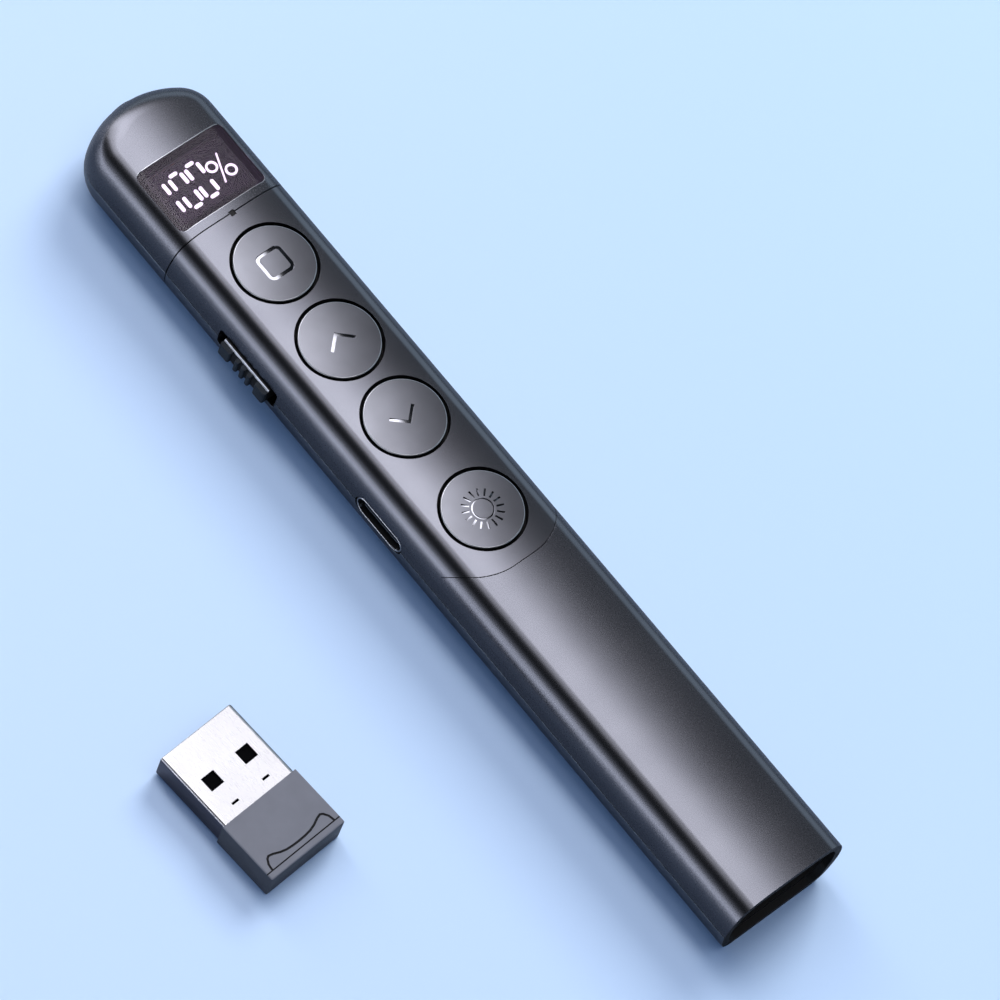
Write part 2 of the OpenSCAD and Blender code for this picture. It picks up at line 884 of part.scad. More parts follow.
module switch_case() {
    run = lever_w + 2 * switch_travel + 2 * lever_gap;
    color([0.8, 0.8, 0.82])
        difference() {
            translate([switch_x - case_l / 2, case_y1 - case_d, board_top])
                cube([case_l, case_d, case_h]);
            translate([switch_x - run / 2, case_y1 - 2 - lever_gap, parting_height - lever_h / 2 - lever_gap])
                cube([run, 3, lever_h + 2 * lever_gap]);
        }
}

// ---- charging port ----

module port_shell() {
    color([0.82, 0.83, 0.85])
        translate([port_x, 0, parting_height]) difference() {
            stadium_y(port_w, port_h, port_face - port_depth, port_face);
            stadium_y(port_w - 2 * port_wall, port_h - 2 * port_wall,
                port_face - port_depth - 1, port_face + 1);
        }
}

module port_tongue() {
    color([0.08, 0.08, 0.09])
        translate([port_x, 0, parting_height]) {
            stadium_y(port_w - 2 * port_wall, port_h - 2 * port_wall,
                port_face - port_depth, port_face - plug_in);
            translate([-blade_w / 2, port_face - plug_in, -blade_t / 2])
                cube([blade_w, plug_in - blade_back, blade_t]);
        }
}

// ---- receiver bay ----

module bay_liner() {
    color([0.07, 0.07, 0.08])
        difference() {
            intersection() {
                body_form(wall + fit_gap, 1);
                slab(tail_x + 1, liner_x1, 0, body_height);
            }
            // open mouth, with a thin wall all round
            intersection() {
                body_form(wall + fit_gap + liner_wall, 2);
                slab(tail_x - 1, liner_x0, 0, body_height);
            }
            translate([tail_x, -pocket_w / 2, pocket_z0]) cube([pocket_end - tail_x, pocket_w, pocket_h]);
            disc_x(magnet_r, pocket_end, pocket_end + magnet_t, z = pocket_z0 + pocket_h / 2);
            translate([shell_screw_x[0], 0, 0]) cylinder(r = pilot_r, h = screw_head_h + screw_sink + screw_l + 0.1);
        }
}

module bay_magnet() {
    color([0.7, 0.71, 0.73])
        disc_x(magnet_r, pocket_end, pocket_end + magnet_t, z = pocket_z0 + pocket_h / 2);
}

// ---- fasteners ----

module screw() {
    difference() {
        union() {
            cylinder(r = screw_head_r, h = screw_head_h);
            translate([0, 0, screw_head_h]) cylinder(r = screw_r, h = screw_l);
        }
        for (a = [0, 90])
            rotate([0, 0, a]) translate([-0.8, -0.13, -1]) cube([1.6, 0.26, 1 + screw_head_h / 2]);
    }
}

module screws() {
    color([0.6, 0.61, 0.63]) {
        for (x = shell_screw_x) translate([x, 0, screw_sink]) screw();
        for (x = board_screw_x)
            translate([x, 0, board_top + screw_head_h]) rotate([180, 0, 0]) screw();
    }
}

// ---- receiver, lying beside the clicker ----

module receiver_place() {
    translate([receiver_x, receiver_y, 0]) rotate([0, 0, receiver_yaw]) children();
}

module receiver_cap() {
    color([0.35, 0.36, 0.38])
        receiver_place() difference() {
            translate([-cap_l, -cap_w / 2, 0]) cube([cap_l, cap_w, cap_h]);
            translate([-plug_root, -plug_w / 2, plug_z0]) cube([plug_root + 1, plug_w, plug_h]);
        }
}

module receiver_plug() {
    color([0.88, 0.89, 0.90])
        receiver_place() difference() {
            translate([-plug_root, -plug_w / 2, plug_z0]) cube([plug_root + plug_l, plug_w, plug_h]);
            translate([-plug_root - 1, -plug_w / 2 + plug_wall, plug_z0 + plug_wall])
                cube([plug_root + plug_l + 2, plug_w - 2 * plug_wall, plug_h - 2 * plug_wall]);
            for (s = [-1, 1])
                translate([(plug_l - plug_window) / 2 - 0.4, s * plug_window_y - plug_window / 2, -1])
                    cube([plug_window, plug_window, cap_h + 2]);
            for (s = [-1, 1])
                translate([plug_slot_x, s * plug_slot_y - plug_slot[1] / 2, plug_z0 + plug_h - 1])
                    cube([plug_slot[0], plug_slot[1], 2]);
        }
}

module receiver_tongue() {
    color([0.1, 0.1, 0.11])
        receiver_place() {
            translate([-plug_root, -plug_w / 2 + plug_wall, tongue_z])
                cube([plug_root + plug_l - tongue_back, plug_w - 2 * plug_wall, tongue_t]);
        }
}

module receiver_contacts() {
    color([0.85, 0.68, 0.28])
        receiver_place()
            for (i = [0 : 3])
                translate([1.5, (i - 1.5) * contact_pitch - contact_w / 2, tongue_z - contact_t])
                    cube([plug_l - 3, contact_w, contact_t]);
}

module receiver_board() {
    color([0.05, 0.28, 0.16])
        receiver_place()
            translate([-plug_root, -plug_w / 2 + plug_wall, tongue_z - receiver_board_t])
                cube([plug_root + 1, plug_w - 2 * plug_wall, receiver_board_t]);
}

head_top_cover();
head_bottom_cover();
main_top_shell();
main_bottom_shell();
key_panel();
neck_ring();
display_window();
display_module();
display_segments();
display_pins();
status_light();
status_led();
laser_bezel();
laser_lens();
laser_barrel();
laser_leads();
screen_key();
forward_key();
back_key();
spotlight_key();
main_board();
tact_switches();
tact_plungers();
board_chips();
battery();
battery_pad();
battery_leads();
switch_knob();
switch_slider();
switch_case();
port_shell();
port_tongue();
bay_liner();
bay_magnet();
screws();
receiver_cap();
receiver_plug();
receiver_tongue();
receiver_contacts();
receiver_board();
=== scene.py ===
"""Finishes, fine parts, light and camera for the presentation clicker and its receiver.

Sizes are millimetres, and become metres in mm(), at() and solid_from(). Only the lamps are in metres.
"""
import math

import bmesh
import bpy
from mathutils import Matrix, Vector


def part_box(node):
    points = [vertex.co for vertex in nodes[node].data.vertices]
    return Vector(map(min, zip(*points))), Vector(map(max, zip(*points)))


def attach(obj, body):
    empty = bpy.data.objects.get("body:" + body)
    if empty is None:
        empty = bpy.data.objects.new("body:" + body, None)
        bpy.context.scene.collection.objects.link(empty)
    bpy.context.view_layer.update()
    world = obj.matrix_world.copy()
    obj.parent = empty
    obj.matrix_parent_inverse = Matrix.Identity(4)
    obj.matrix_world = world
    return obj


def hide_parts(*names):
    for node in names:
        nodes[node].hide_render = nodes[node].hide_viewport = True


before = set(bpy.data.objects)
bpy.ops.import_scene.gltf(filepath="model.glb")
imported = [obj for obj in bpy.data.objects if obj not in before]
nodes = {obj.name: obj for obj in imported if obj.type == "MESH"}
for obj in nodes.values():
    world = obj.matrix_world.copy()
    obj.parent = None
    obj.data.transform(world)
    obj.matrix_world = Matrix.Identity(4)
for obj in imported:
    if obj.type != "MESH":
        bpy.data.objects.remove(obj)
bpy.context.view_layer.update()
UP = Vector((0, 0, 1))

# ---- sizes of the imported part, in millimetres ----

HALF_W = 9.8
BODY_H = 12.2
PARTING_Z = 5.9
SHOULDER_R = 3.0
TOP_FALL = 0.4
SIDE_LEAN = 0.75
BELLY_R = 2.6
BELLY_LEAN = 0.75
NOSE_CORNER_R = 5.8
NOSE_FRONT_R = 12.8
WINDOW_RECESS = 0.12
# The keys' edge lies 0.04 mm inside the solid's, which widens the dark gap round it.
KEY_R = 5.46
KEY_CHAMFER = 0.14
PLUG_W = 12.0
PLUG_H = 4.5
PLUG_L = 11.7
PLUG_WALL = 0.3
CAP_W = 12.5
CAP_H = 4.9
CAP_L = 9.1
RECEIVER_PLACE = (-18.2, 45.3, 0.0)
RECEIVER_YAW = 3.8


def mm(length):
    return length * 0.001


def at(*point):
    """A point given in millimetres, as metres."""
    return Vector(point) * 0.001


def add_object(name, data):
    """A new object in the scene that holds a mesh, a light or a camera."""
    obj = bpy.data.objects.new(name, data)
    bpy.context.scene.collection.objects.link(obj)
    return obj


def box_mm(node):
    low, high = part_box(node)
    return low * 1000, high * 1000


def middle(node):
    low, high = box_mm(node)
    return (low + high) / 2


# ---- colours and node trees ----

def linear(code):
    """An sRGB hex colour as linear red, green, blue and alpha."""
    parts = [int(code[i:i + 2], 16) / 255 for i in (1, 3, 5)]
    return (*[p / 12.92 if p <= 0.04045 else ((p + 0.055) / 1.055) ** 2.4 for p in parts], 1.0)


def add_node(tree, kind, inputs=None, **settings):
    """One node with its settings and its inputs, which are values or other nodes' outputs."""
    node = tree.nodes.new(kind)
    for key, value in settings.items():
        setattr(node, key, value)
    for key, value in (inputs or {}).items():
        if isinstance(value, bpy.types.NodeSocket):
            tree.links.new(value, node.inputs[key])
        else:
            node.inputs[key].default_value = value
    return node


def new_material(name):
    """An empty material, its tree and its Object coordinates."""
    material = bpy.data.materials.new(name)
    material.use_nodes = True
    tree = material.node_tree
    tree.nodes.clear()
    coords = add_node(tree, "ShaderNodeTexCoord").outputs["Object"]
    return material, tree, coords


def noise(tree, coords, grain_mm, stretch=(1, 1, 1)):
    """Noise whose spots are about grain_mm across, drawn out by stretch."""
    scaled = add_node(tree, "ShaderNodeMapping", {
        "Vector": coords, "Scale": [1 / (mm(grain_mm) * s) for s in stretch]})
    return add_node(tree, "ShaderNodeTexNoise", {
        "Vector": scaled.outputs["Vector"], "Scale": 1.0, "Detail": 2.0}).outputs["Fac"]


def spread(tree, factor, low, high):
    """The middle of a noise's range, stretched to run from low to high."""
    return add_node(tree, "ShaderNodeMapRange", {
        "Value": factor, "From Min": 0.3, "From Max": 0.7,
        "To Min": low, "To Max": high}).outputs["Result"]


def finish(name, colour, darker, roughness, metallic=0.0, tone_mm=6.0, grain_mm=0.3,
           grain_depth_mm=0.003, rough_spread=0.04, stretch=(1, 1, 1), sockets=None):
    """A surface in two close tones, with a fine grain in relief and a small spread in its gloss."""
    material, tree, coords = new_material(name)
    patches = spread(tree, noise(tree, coords, tone_mm), 0.0, 1.0)
    grain = noise(tree, coords, grain_mm, stretch)
    tone = add_node(tree, "ShaderNodeMix", {
        0: patches, 6: linear(colour), 7: linear(darker)}, data_type="RGBA")
    relief = add_node(tree, "ShaderNodeBump", {
        "Height": grain, "Distance": mm(grain_depth_mm), "Strength": 1.0})
    shader = add_node(tree, "ShaderNodeBsdfPrincipled", {
        "Base Color": tone.outputs[2], "Metallic": metallic,
        "Roughness": spread(tree, grain, roughness - rough_spread, roughness + rough_spread),
        "Normal": relief.outputs["Normal"], **(sockets or {})})
    add_node(tree, "ShaderNodeOutputMaterial", {"Surface": shader.outputs["BSDF"]})
    return material


# ---- finishes ----

def lacquer(name, colour, darker, roughness):
    """Metallic lacquer over moulded ABS: a broad soft sheen that falls off quickly to near black.

    Its flakes are about 0.03 mm and are drawn 0.22 mm across, as fine as shows."""
    return finish(name, colour, darker, roughness, metallic=1.0, tone_mm=9, grain_mm=0.22,
                  grain_depth_mm=0.00008, rough_spread=0.008)


upper_lacquer = lacquer("metallic_lacquer_on_moulded_abs_upper", "#66686f", "#606269", 0.27)
# The same lacquer, a shade bluer, on the lower halves.
lower_lacquer = lacquer("metallic_lacquer_on_moulded_abs_lower", "#76818f", "#6f7a88", 0.29)
# The inlaid panel has a slightly smoother coat.
panel_lacquer = lacquer("metallic_lacquer_on_key_panel", "#686a71", "#62646b", 0.26)
# Anodised aluminium keys, finely bead blasted: even grey with a tight, slightly brighter sheen.
blasted_key = finish(
    "blasted_anodised_aluminium_key", "#6d6f76", "#67696f", 0.3, metallic=1.0,
    tone_mm=4, grain_mm=0.18, grain_depth_mm=0.0002, rough_spread=0.015)
# Bare bright metal: the real turned edge of the keys, and a painted highlight on the window's thin rim
# and along the thumb piece's line.
turned_edge_and_highlight = finish(
    "turned_aluminium_edge_and_painted_highlight", "#c6c9cf", "#acb0b6", 0.36, metallic=1.0,
    tone_mm=2, grain_mm=0.12, grain_depth_mm=0.0001, rough_spread=0.02)
# The signs are engraved and left polished: white where they catch the light, black elsewhere.
polished_sign = finish(
    "polished_black_nickel_sign", "#8b8d93", "#818389", 0.13, metallic=1.0,
    tone_mm=1, grain_mm=0.12, grain_depth_mm=0.0001, rough_spread=0.02)
# Painted shade: near black on the keys' sides, a black line in their gaps. The cap's engraved lines
# share it, as painted shade in their grooves.
gap_and_groove_shade = finish(
    "black_painted_shade_in_gaps_and_grooves", "#0c0c0e", "#101012", 0.55, tone_mm=2, grain_mm=0.15,
    grain_depth_mm=0.001, sockets={"Specular IOR Level": 0.2})
# Bright-nickel-plated steel sheet: near white, with faint lines along the rolling direction.
plated_steel = finish(
    "nickel_plated_rolled_steel", "#bfc0c3", "#babbbe", 0.3, metallic=1.0,
    tone_mm=5, grain_mm=0.12, grain_depth_mm=0.0006, rough_spread=0.06, stretch=(12, 1, 1))
# The plug's rolled sides are a little duller, and painted darker than its flat top: painted shade for
# the sides turned from the light.
plug_side_steel_painted_shade = finish(
    "rolled_steel_plug_side_painted_shade", "#72727f", "#696a77", 0.34, metallic=1.0,
    tone_mm=4, grain_mm=0.12, grain_depth_mm=0.0008, rough_spread=0.05, stretch=(12, 1, 1))
# Deep-drawn stainless steel of the port: bright, with faint lines along the way it was drawn.
port_steel = finish(
    "deep_drawn_stainless_port", "#c8cbd0", "#b8bbc0", 0.24, metallic=1.0,
    tone_mm=3, grain_mm=0.12, grain_depth_mm=0.0005, rough_spread=0.05, stretch=(1, 8, 1))
# Zinc-plated steel of screws and switch cases: half bright, with small cloudy patches.
screw_steel = finish(
    "zinc_plated_screw", "#b4b7ba", "#9c9fa2", 0.32, metallic=1.0,
    tone_mm=1, grain_mm=0.1, grain_depth_mm=0.001, rough_spread=0.06)
# Spark-eroded ABS of the cap: matt, with a fine even texture about 0.15 mm across.
cap_plastic = finish(
    "spark_eroded_abs_cap", "#6e7077", "#686a71", 0.42, tone_mm=3, grain_mm=0.16,
    grain_depth_mm=0.004, rough_spread=0.06, sockets={"IOR": 1.53, "Specular IOR Level": 0.35})
# The cap's sides are moulded a little smoother, and painted darker than its top: painted shade.
cap_side_painted_shade = finish(
    "abs_cap_side_painted_shade", "#45484e", "#3f4248", 0.38, tone_mm=3, grain_mm=0.16,
    grain_depth_mm=0.001, rough_spread=0.05, sockets={"IOR": 1.53, "Specular IOR Level": 0.3})
# Moulded black ABS of the bay, the rings and the shells' bare insides: dark and half matt. The same
# black is painted shade on the port's inside, its blade and the thumb piece's block.
black_moulding_and_painted_shade = finish(
    "moulded_black_abs_and_painted_shade", "#0e0f11", "#0a0b0c", 0.55, tone_mm=4, grain_mm=0.2,
    grain_depth_mm=0.003, rough_spread=0.08, sockets={"IOR": 1.53, "Specular IOR Level": 0.25})
# Textured polycarbonate of the thumb piece: dark blue-grey, with hardly any highlight.
knob_moulding = finish(
    "textured_pc_switch_knob", "#2b3136", "#252a2f", 0.38, tone_mm=2, grain_mm=0.15,
    grain_depth_mm=0.003, rough_spread=0.06, sockets={"IOR": 1.58, "Specular IOR Level": 0.08})
# Moulded liquid-crystal polymer: the blade's front edge is a satin grey line in the dark port.
blade_polymer = finish(
    "moulded_grey_polymer_blade", "#5a5d64", "#51545b", 0.4, tone_mm=2, grain_mm=0.15,
    grain_depth_mm=0.002)
# The receiver's tongue is matt and as good as black in the plug's windows.
matt_tongue = finish(
    "moulded_black_lcp_tongue", "#060607", "#080809", 0.8, tone_mm=2, grain_mm=0.15,
    grain_depth_mm=0.002, sockets={"Specular IOR Level": 0.02})
# Dark filter over the display. Its faint purple glow is painted light that gives the window its tone;
# the casing's pocket under the window takes it too.
display_filter_painted_glow = finish(
    "dark_display_filter_painted_purple_glow", "#0a090c", "#0d0b10", 0.5, tone_mm=5, grain_mm=0.2,
    grain_depth_mm=0.001, sockets={"Specular IOR Level": 0.1, "Emission Strength": 0.012,
                                   "Emission Color": linear("#c3adcf")})
# Glass-fibre board under solder mask: deep green and glossy, with a slightly uneven surface.
board_green = finish(
    "fibreglass_board_with_green_solder_mask", "#0f4a2c", "#0c3f26", 0.35, tone_mm=1.2,
    grain_mm=0.4, grain_depth_mm=0.01, sockets={"Coat Weight": 0.4, "Coat Roughness": 0.2})
# Moulded epoxy of chips and plungers: an even matt charcoal.
chip_epoxy = finish(
    "moulded_epoxy_chip", "#17181a", "#1d1e20", 0.6, tone_mm=0.6, grain_mm=0.08,
    grain_depth_mm=0.004)
# Aluminium laminate pouch: pale silver with soft dents.
battery_foil = finish(
    "aluminium_laminate_pouch", "#b9bcc0", "#a9acb0", 0.3, metallic=1.0, tone_mm=3,
    grain_mm=1.2, grain_depth_mm=0.05, rough_spread=0.05)
# Die-cut polyurethane foam: off-white and fully matt, with pores 0.3 mm across.
foam = finish(
    "die_cut_polyurethane_foam", "#d9d8d0", "#c9c8c0", 0.9, tone_mm=0.8, grain_mm=0.3,
    grain_depth_mm=0.08, rough_spread=0.02)
# Turned brass: warm and bright, with fine rings round the barrel.
brass = finish(
    "turned_brass_barrel", "#c9a35a", "#b48f4b", 0.25, metallic=1.0, tone_mm=2,
    grain_mm=0.1, grain_depth_mm=0.002, stretch=(0.5, 6, 6))
# Gold plate on the receiver's contacts: yellow and bright, with fine lines along each contact.
gold = finish(
    "gold_plated_contact", "#e3bf62", "#d6b056", 0.22, metallic=1.0, tone_mm=1,
    grain_mm=0.1, grain_depth_mm=0.0006, stretch=(8, 1, 1))
# Soft PVC insulation of the leads: an even red with a low gloss.
red_lead = finish(
    "red_pvc_lead", "#a01c1e", "#8c1718", 0.4, tone_mm=1, grain_mm=0.2, grain_depth_mm=0.003)
# Moulded nylon slider: milky off-white and half matt.
nylon = finish(
    "moulded_nylon_slider", "#dddbd2", "#cfcdc4", 0.45, tone_mm=1, grain_mm=0.15,
    grain_depth_mm=0.003, sockets={"IOR": 1.53})
# Nickel plate on the magnet: smooth bright silver.
nickel = finish(
    "nickel_plated_magnet", "#c4c6c9", "#b3b5b8", 0.2, metallic=1.0, tone_mm=1.5,
    grain_mm=0.3, grain_depth_mm=0.002)
# Ceramic body of the light source: warm white and matt.
led_ceramic = finish(
    "led_ceramic_body", "#e6e2d4", "#dad6c8", 0.5, tone_mm=0.5, grain_mm=0.1,
    grain_depth_mm=0.002)
# Tinned brass pins: a soft grey-white metal.
tinned_pin = finish(
    "tinned_brass_pin", "#c7c5ba", "#b6b4a9", 0.3, metallic=1.0, tone_mm=0.6, grain_mm=0.08,
    grain_depth_mm=0.002)
# Smoked polycarbonate light pipe, unlit: near black with a weak gloss.
smoked_light_pipe = finish(
    "smoked_polycarbonate_light_pipe", "#08080b", "#0b0b0e", 0.3, tone_mm=0.5, grain_mm=0.2,
    grain_depth_mm=0.001, sockets={"IOR": 1.58, "Specular IOR Level": 0.15})


def tinted_glass(name, tint, roughness, ior, gloss, clarity):
    """Moulded plastic with a tint, a faint haze and a slightly uneven gloss, under a hard coat."""
    material, tree, coords = new_material(name)
    haze = spread(tree, noise(tree, coords, 3.0), roughness * 0.8, roughness * 1.2)
    shader = add_node(tree, "ShaderNodeBsdfPrincipled", {
        "Base Color": linear(tint), "Roughness": haze, "IOR": ior,
        "Transmission Weight": clarity, "Specular IOR Level": 0.0, "Coat Weight": gloss,
        "Coat Roughness": 0.12, "Coat IOR": 1.6})
    add_node(tree, "ShaderNodeOutputMaterial", {"Surface": shader.outputs["BSDF"]})
    return material


# Smoked acrylic pane with a satin hard coat: dark purple, with faint soft reflections.
smoked_pane = tinted_glass("smoked_acrylic_pane", "#b6a3bd", 0.02, 1.01, 0.22, 0.965)
# Red filter glass of the laser: deep red and clear, under a full gloss.
laser_glass = tinted_glass("red_filter_glass", "#b0202a", 0.02, 1.52, 1.0, 1.0)


def lit_segment():
    """Diffuser film over a light: an even, slightly cool white that glows through the pane."""
    material, tree, coords = new_material("lit_diffuser_film")
    mottle = spread(tree, noise(tree, coords, 0.5), 0.92, 1.0)
    colour = add_node(tree, "ShaderNodeMix", {
        0: mottle, 6: linear("#c9c6d2"), 7: linear("#fbfaff")}, data_type="RGBA")
    shader = add_node(tree, "ShaderNodeBsdfPrincipled", {
        "Base Color": linear("#d0d0d4"), "Roughness": 0.5,
        "Emission Color": colour.outputs[2], "Emission Strength": 3.3})
    add_node(tree, "ShaderNodeOutputMaterial", {"Surface": shader.outputs["BSDF"]})
    return material


segment_light = lit_segment()


# ---- the casing's skin ----

def blend_radius(run, r, dip):
    """Radius of an arc that leaves a tangent line and meets an arc of radius r that lies dip inside."""
    return (run * run + (r + dip) ** 2 - r * r) / (2 * dip)


NOSE_SIDE = HALF_W - NOSE_CORNER_R
NOSE_ARC_BACK = math.sqrt((NOSE_FRONT_R - NOSE_CORNER_R) ** 2 - NOSE_SIDE ** 2)
NOSE_ANGLE = math.atan2(NOSE_SIDE, NOSE_ARC_BACK)
# The body is as long ahead of the middle as behind it; the tip itself is cut away for the laser.
NOSE_FRONT_X = -box_mm("main_top_shell")[0].x - NOSE_FRONT_R
NOSE_CORNER_X = NOSE_FRONT_X + NOSE_ARC_BACK
SHOULDER_Y = HALF_W - SHOULDER_R - SIDE_LEAN
SHOULDER_Z = BODY_H - SHOULDER_R - TOP_FALL
CROWN_R = blend_radius(SHOULDER_Y - NOSE_SIDE, SHOULDER_R, TOP_FALL)
SIDE_R = blend_radius(SHOULDER_Z - PARTING_Z, SHOULDER_R, SIDE_LEAN)
BELLY_Y = HALF_W - BELLY_R - BELLY_LEAN
BELLY_SIDE_R = blend_radius(PARTING_Z - BELLY_R, BELLY_R, BELLY_LEAN)
# The top is very slightly crowned from side to side, with this radius.
TOP_R = blend_radius(SHOULDER_Y, SHOULDER_R, TOP_FALL)
SECTION_ARCS = [
    (NOSE_SIDE, BODY_H - CROWN_R, CROWN_R),
    (SHOULDER_Y, SHOULDER_Z, SHOULDER_R),
    (HALF_W - SIDE_R, PARTING_Z, SIDE_R),
    (HALF_W - BELLY_SIDE_R, PARTING_Z, BELLY_SIDE_R),
    (BELLY_Y, BELLY_R, BELLY_R),
]


def meeting_angle(large, small):
    """Where two tangent arcs meet, the small one inside the large: degrees from straight out."""
    return math.degrees(math.atan2(small[1] - large[1], small[0] - large[0]))


CROWN_ARC, SHOULDER_ARC, SIDE_ARC, BELLY_SIDE_ARC, BELLY_ARC = SECTION_ARCS
# The angles between which each arc of the section runs, from straight up to straight down.
ARC_ENDS = [90.0, meeting_angle(CROWN_ARC, SHOULDER_ARC), meeting_angle(SIDE_ARC, SHOULDER_ARC), 0.0,
            meeting_angle(BELLY_SIDE_ARC, BELLY_ARC), -90.0]

# The shoulder runs into the side a little more softly than two tangent arcs do: by so many degrees
# where the skin's tilt from straight up is this, and less and less over so many degrees either way.
SIDE_EASE = 7.0
SIDE_EASE_AT = 62.5
SIDE_EASE_WIDTH = 7.0
# Past the first tilt the skin turns outwards no further than its own arc does, and past the second
# it is a wall and has no crown.
SHOULDER_TILT = 40
WALL_TILT = 85
# A point this near the skin, in millimetres, shades like it. An edge this near it may be rounded, and
# a face this near it is painted.
SHADE_DEPTH = 0.03
EDGE_DEPTH = 0.02
PAINT_DEPTH = 0.11
FAR_OFF = 99.0
# The nose's two arcs meet in a strip of this half width.
JOIN_HALF = 0.2


def outward(x, y):
    """Horizontal direction out of the casing at a point, and its distance from the section's middle."""
    side = 1.0 if y >= 0 else -1.0
    if x <= NOSE_CORNER_X:
        return Vector((0, side, 0)), abs(y)
    ahead = Vector((x - NOSE_FRONT_X, abs(y)))
    if math.atan2(ahead.y, ahead.x) <= NOSE_ANGLE:
        u = ahead.length + HALF_W - NOSE_FRONT_R
    else:
        ahead = Vector((x - NOSE_CORNER_X, abs(y) - NOSE_SIDE))
        u = ahead.length + NOSE_SIDE
    ahead.normalize()
    return Vector((ahead.x, side * ahead.y, 0)), u


def skin_direction(point):
    """Outward direction of the casing's skin near a point in millimetres, and the depth below it."""
    out, u = outward(point.x, point.y)
    z = point.z
    best = None
    if u <= NOSE_SIDE and z > PARTING_Z:
        best = (abs(z - BODY_H), 90.0, BODY_H - z)
    elif u <= BELLY_Y and z <= PARTING_Z:
        best = (abs(z), -90.0, z)
    for (cy, cz, r), first, last in zip(SECTION_ARCS, ARC_ENDS, ARC_ENDS[1:]):
        angle = math.degrees(math.atan2(z - cz, u - cy))
        if last - 1 <= angle <= first + 1:
            depth = r - math.hypot(z - cz, u - cy)
            if best is None or abs(depth) < best[0]:
                best = (abs(depth), angle, depth)
    if best is None:
        return None, FAR_OFF
    tilt = 90.0 - best[1]
    tilt -= SIDE_EASE * math.exp(-((tilt - SIDE_EASE_AT) / SIDE_EASE_WIDTH) ** 2)
    if tilt < WALL_TILT:
        # the crown's slow turn from side to side, then the shoulder's quick turn outwards
        crown = Vector((0, point.y / TOP_R, 0))
        over = max(0.0, min(1.0, (u - SHOULDER_Y) / SHOULDER_R))
        if tilt > SHOULDER_TILT:
            over = min(over, math.sin(math.radians(tilt)))
        along = crown.dot(out)
        flat = crown + out * max(0.0, over - along) if over > along else crown
        flat -= (crown - out * along) * over
        return (flat + UP * math.sqrt(max(0.0, 1 - flat.length_squared))).normalized(), best[2]
    a = math.radians(tilt)
    return out * math.sin(a) + UP * math.cos(a), best[2]


def on_nose_join(point):
    """Whether a point lies where the nose's corner arc runs on into its front arc."""
    ahead = Vector((point.x - NOSE_CORNER_X, abs(point.y) - NOSE_SIDE))
    beside = ahead.x * math.sin(NOSE_ANGLE) - ahead.y * math.cos(NOSE_ANGLE)
    return ahead.x > -JOIN_HALF and abs(beside) < JOIN_HALF


SMOOTH_ANGLE = math.radians(42)
# A face turned further than this from the skin's own direction is the wall of a cut.
SKIN_FACE = math.cos(math.radians(38))


def smooth(obj, direction=None):
    """Smooth shading with sharp edges kept. direction gives the exact normal where it knows one."""
    mesh = obj.data
    mesh.polygons.foreach_set("use_smooth", [True] * len(mesh.polygons))
    mesh.set_sharp_from_angle(angle=SMOOTH_ANGLE)
    if direction is None:
        return
    normals = [Vector(n.vector) for n in mesh.corner_normals]
    for face in mesh.polygons:
        for corner in face.loop_indices:
            point = mesh.vertices[mesh.loops[corner].vertex_index].co * 1000
            exact = direction(point, face.normal, face.center)
            if exact is not None:
                normals[corner] = exact
    mesh.normals_split_custom_set(normals)


def skin_normal(point, facing, _):
    """The skin's own direction, for a corner of a face that lies on it."""
    exact, below = skin_direction(point)
    if exact is None or abs(below) > SHADE_DEPTH:
        return None
    # the nose's two arcs meet in hair-thin upright faces, which must shade like the skin
    on_join = abs(facing.z) < 0.2 and on_nose_join(point)
    return exact if on_join or exact.dot(facing) > SKIN_FACE else None


def merged_copy(node, name):
    """A copy of a CAD node's mesh with its loose triangles joined and flat areas made one face."""
    mesh = nodes[node].data.copy()
    mesh.materials.clear()
    bm = bmesh.new()
    bm.from_mesh(mesh)
    bmesh.ops.remove_doubles(bm, verts=bm.verts, dist=mm(0.001))
    bmesh.ops.dissolve_limit(bm, angle_limit=math.radians(0.3), verts=bm.verts, edges=bm.edges)
    bm.to_mesh(mesh)
    bm.free()
    return add_object(name, mesh)


# Edges sharper than this are rims, and the casing's are rounded by so many millimetres.
RIM_ANGLE = math.radians(32)
CASING_RIM = 0.09


def soften_rims(obj, width_mm, chosen, segments=2):
    """Rounds the sharp edges that chosen accepts, which gets an edge's two ends in millimetres."""
    bm = bmesh.new()
    bm.from_mesh(obj.data)
    edges = [
        e for e in bm.edges
        if len(e.link_faces) == 2 and e.calc_face_angle(0) > RIM_ANGLE
        and e.is_convex and chosen(e.verts[0].co * 1000, e.verts[1].co * 1000)]
    bmesh.ops.bevel(bm, geom=edges, offset=mm(width_mm), segments=segments, profile=0.5,
                    affect="EDGES", clamp_overlap=True)
    bm.to_mesh(obj.data)
    bm.free()


# Spacing of the added rows along the clicker and across it.
ROW_STEPS = (2.0, 1.0)


def add_rows(obj, top_mm):
    """Rows of points across the flat top, so that its slight crown shades evenly."""
    bm = bmesh.new()
    bm.from_mesh(obj.data)

    def top_faces():
        return [f for f in bm.faces
                if f.normal.z > 0.999 and f.calc_center_median().z > mm(top_mm - 0.05)]

    bmesh.ops.triangulate(bm, faces=top_faces())
    for axis in (0, 1):
        ends = [v.co[axis] * 1000 for f in top_faces() for v in f.verts]
        place = math.ceil(min(ends, default=0)) + 0.5
        while place < max(ends, default=0):
            faces = top_faces()
            edges = {e for f in faces for e in f.edges}
            verts = {v for f in faces for v in f.verts}
            spot, way = Vector(), Vector()
            spot[axis] = mm(place)
            way[axis] = 1.0
            bmesh.ops.bisect_plane(bm, geom=faces + list(edges) + list(verts), dist=mm(0.001),
                                   plane_co=spot, plane_no=way)
            place += ROW_STEPS[axis]
    bm.to_mesh(obj.data)
    bm.free()


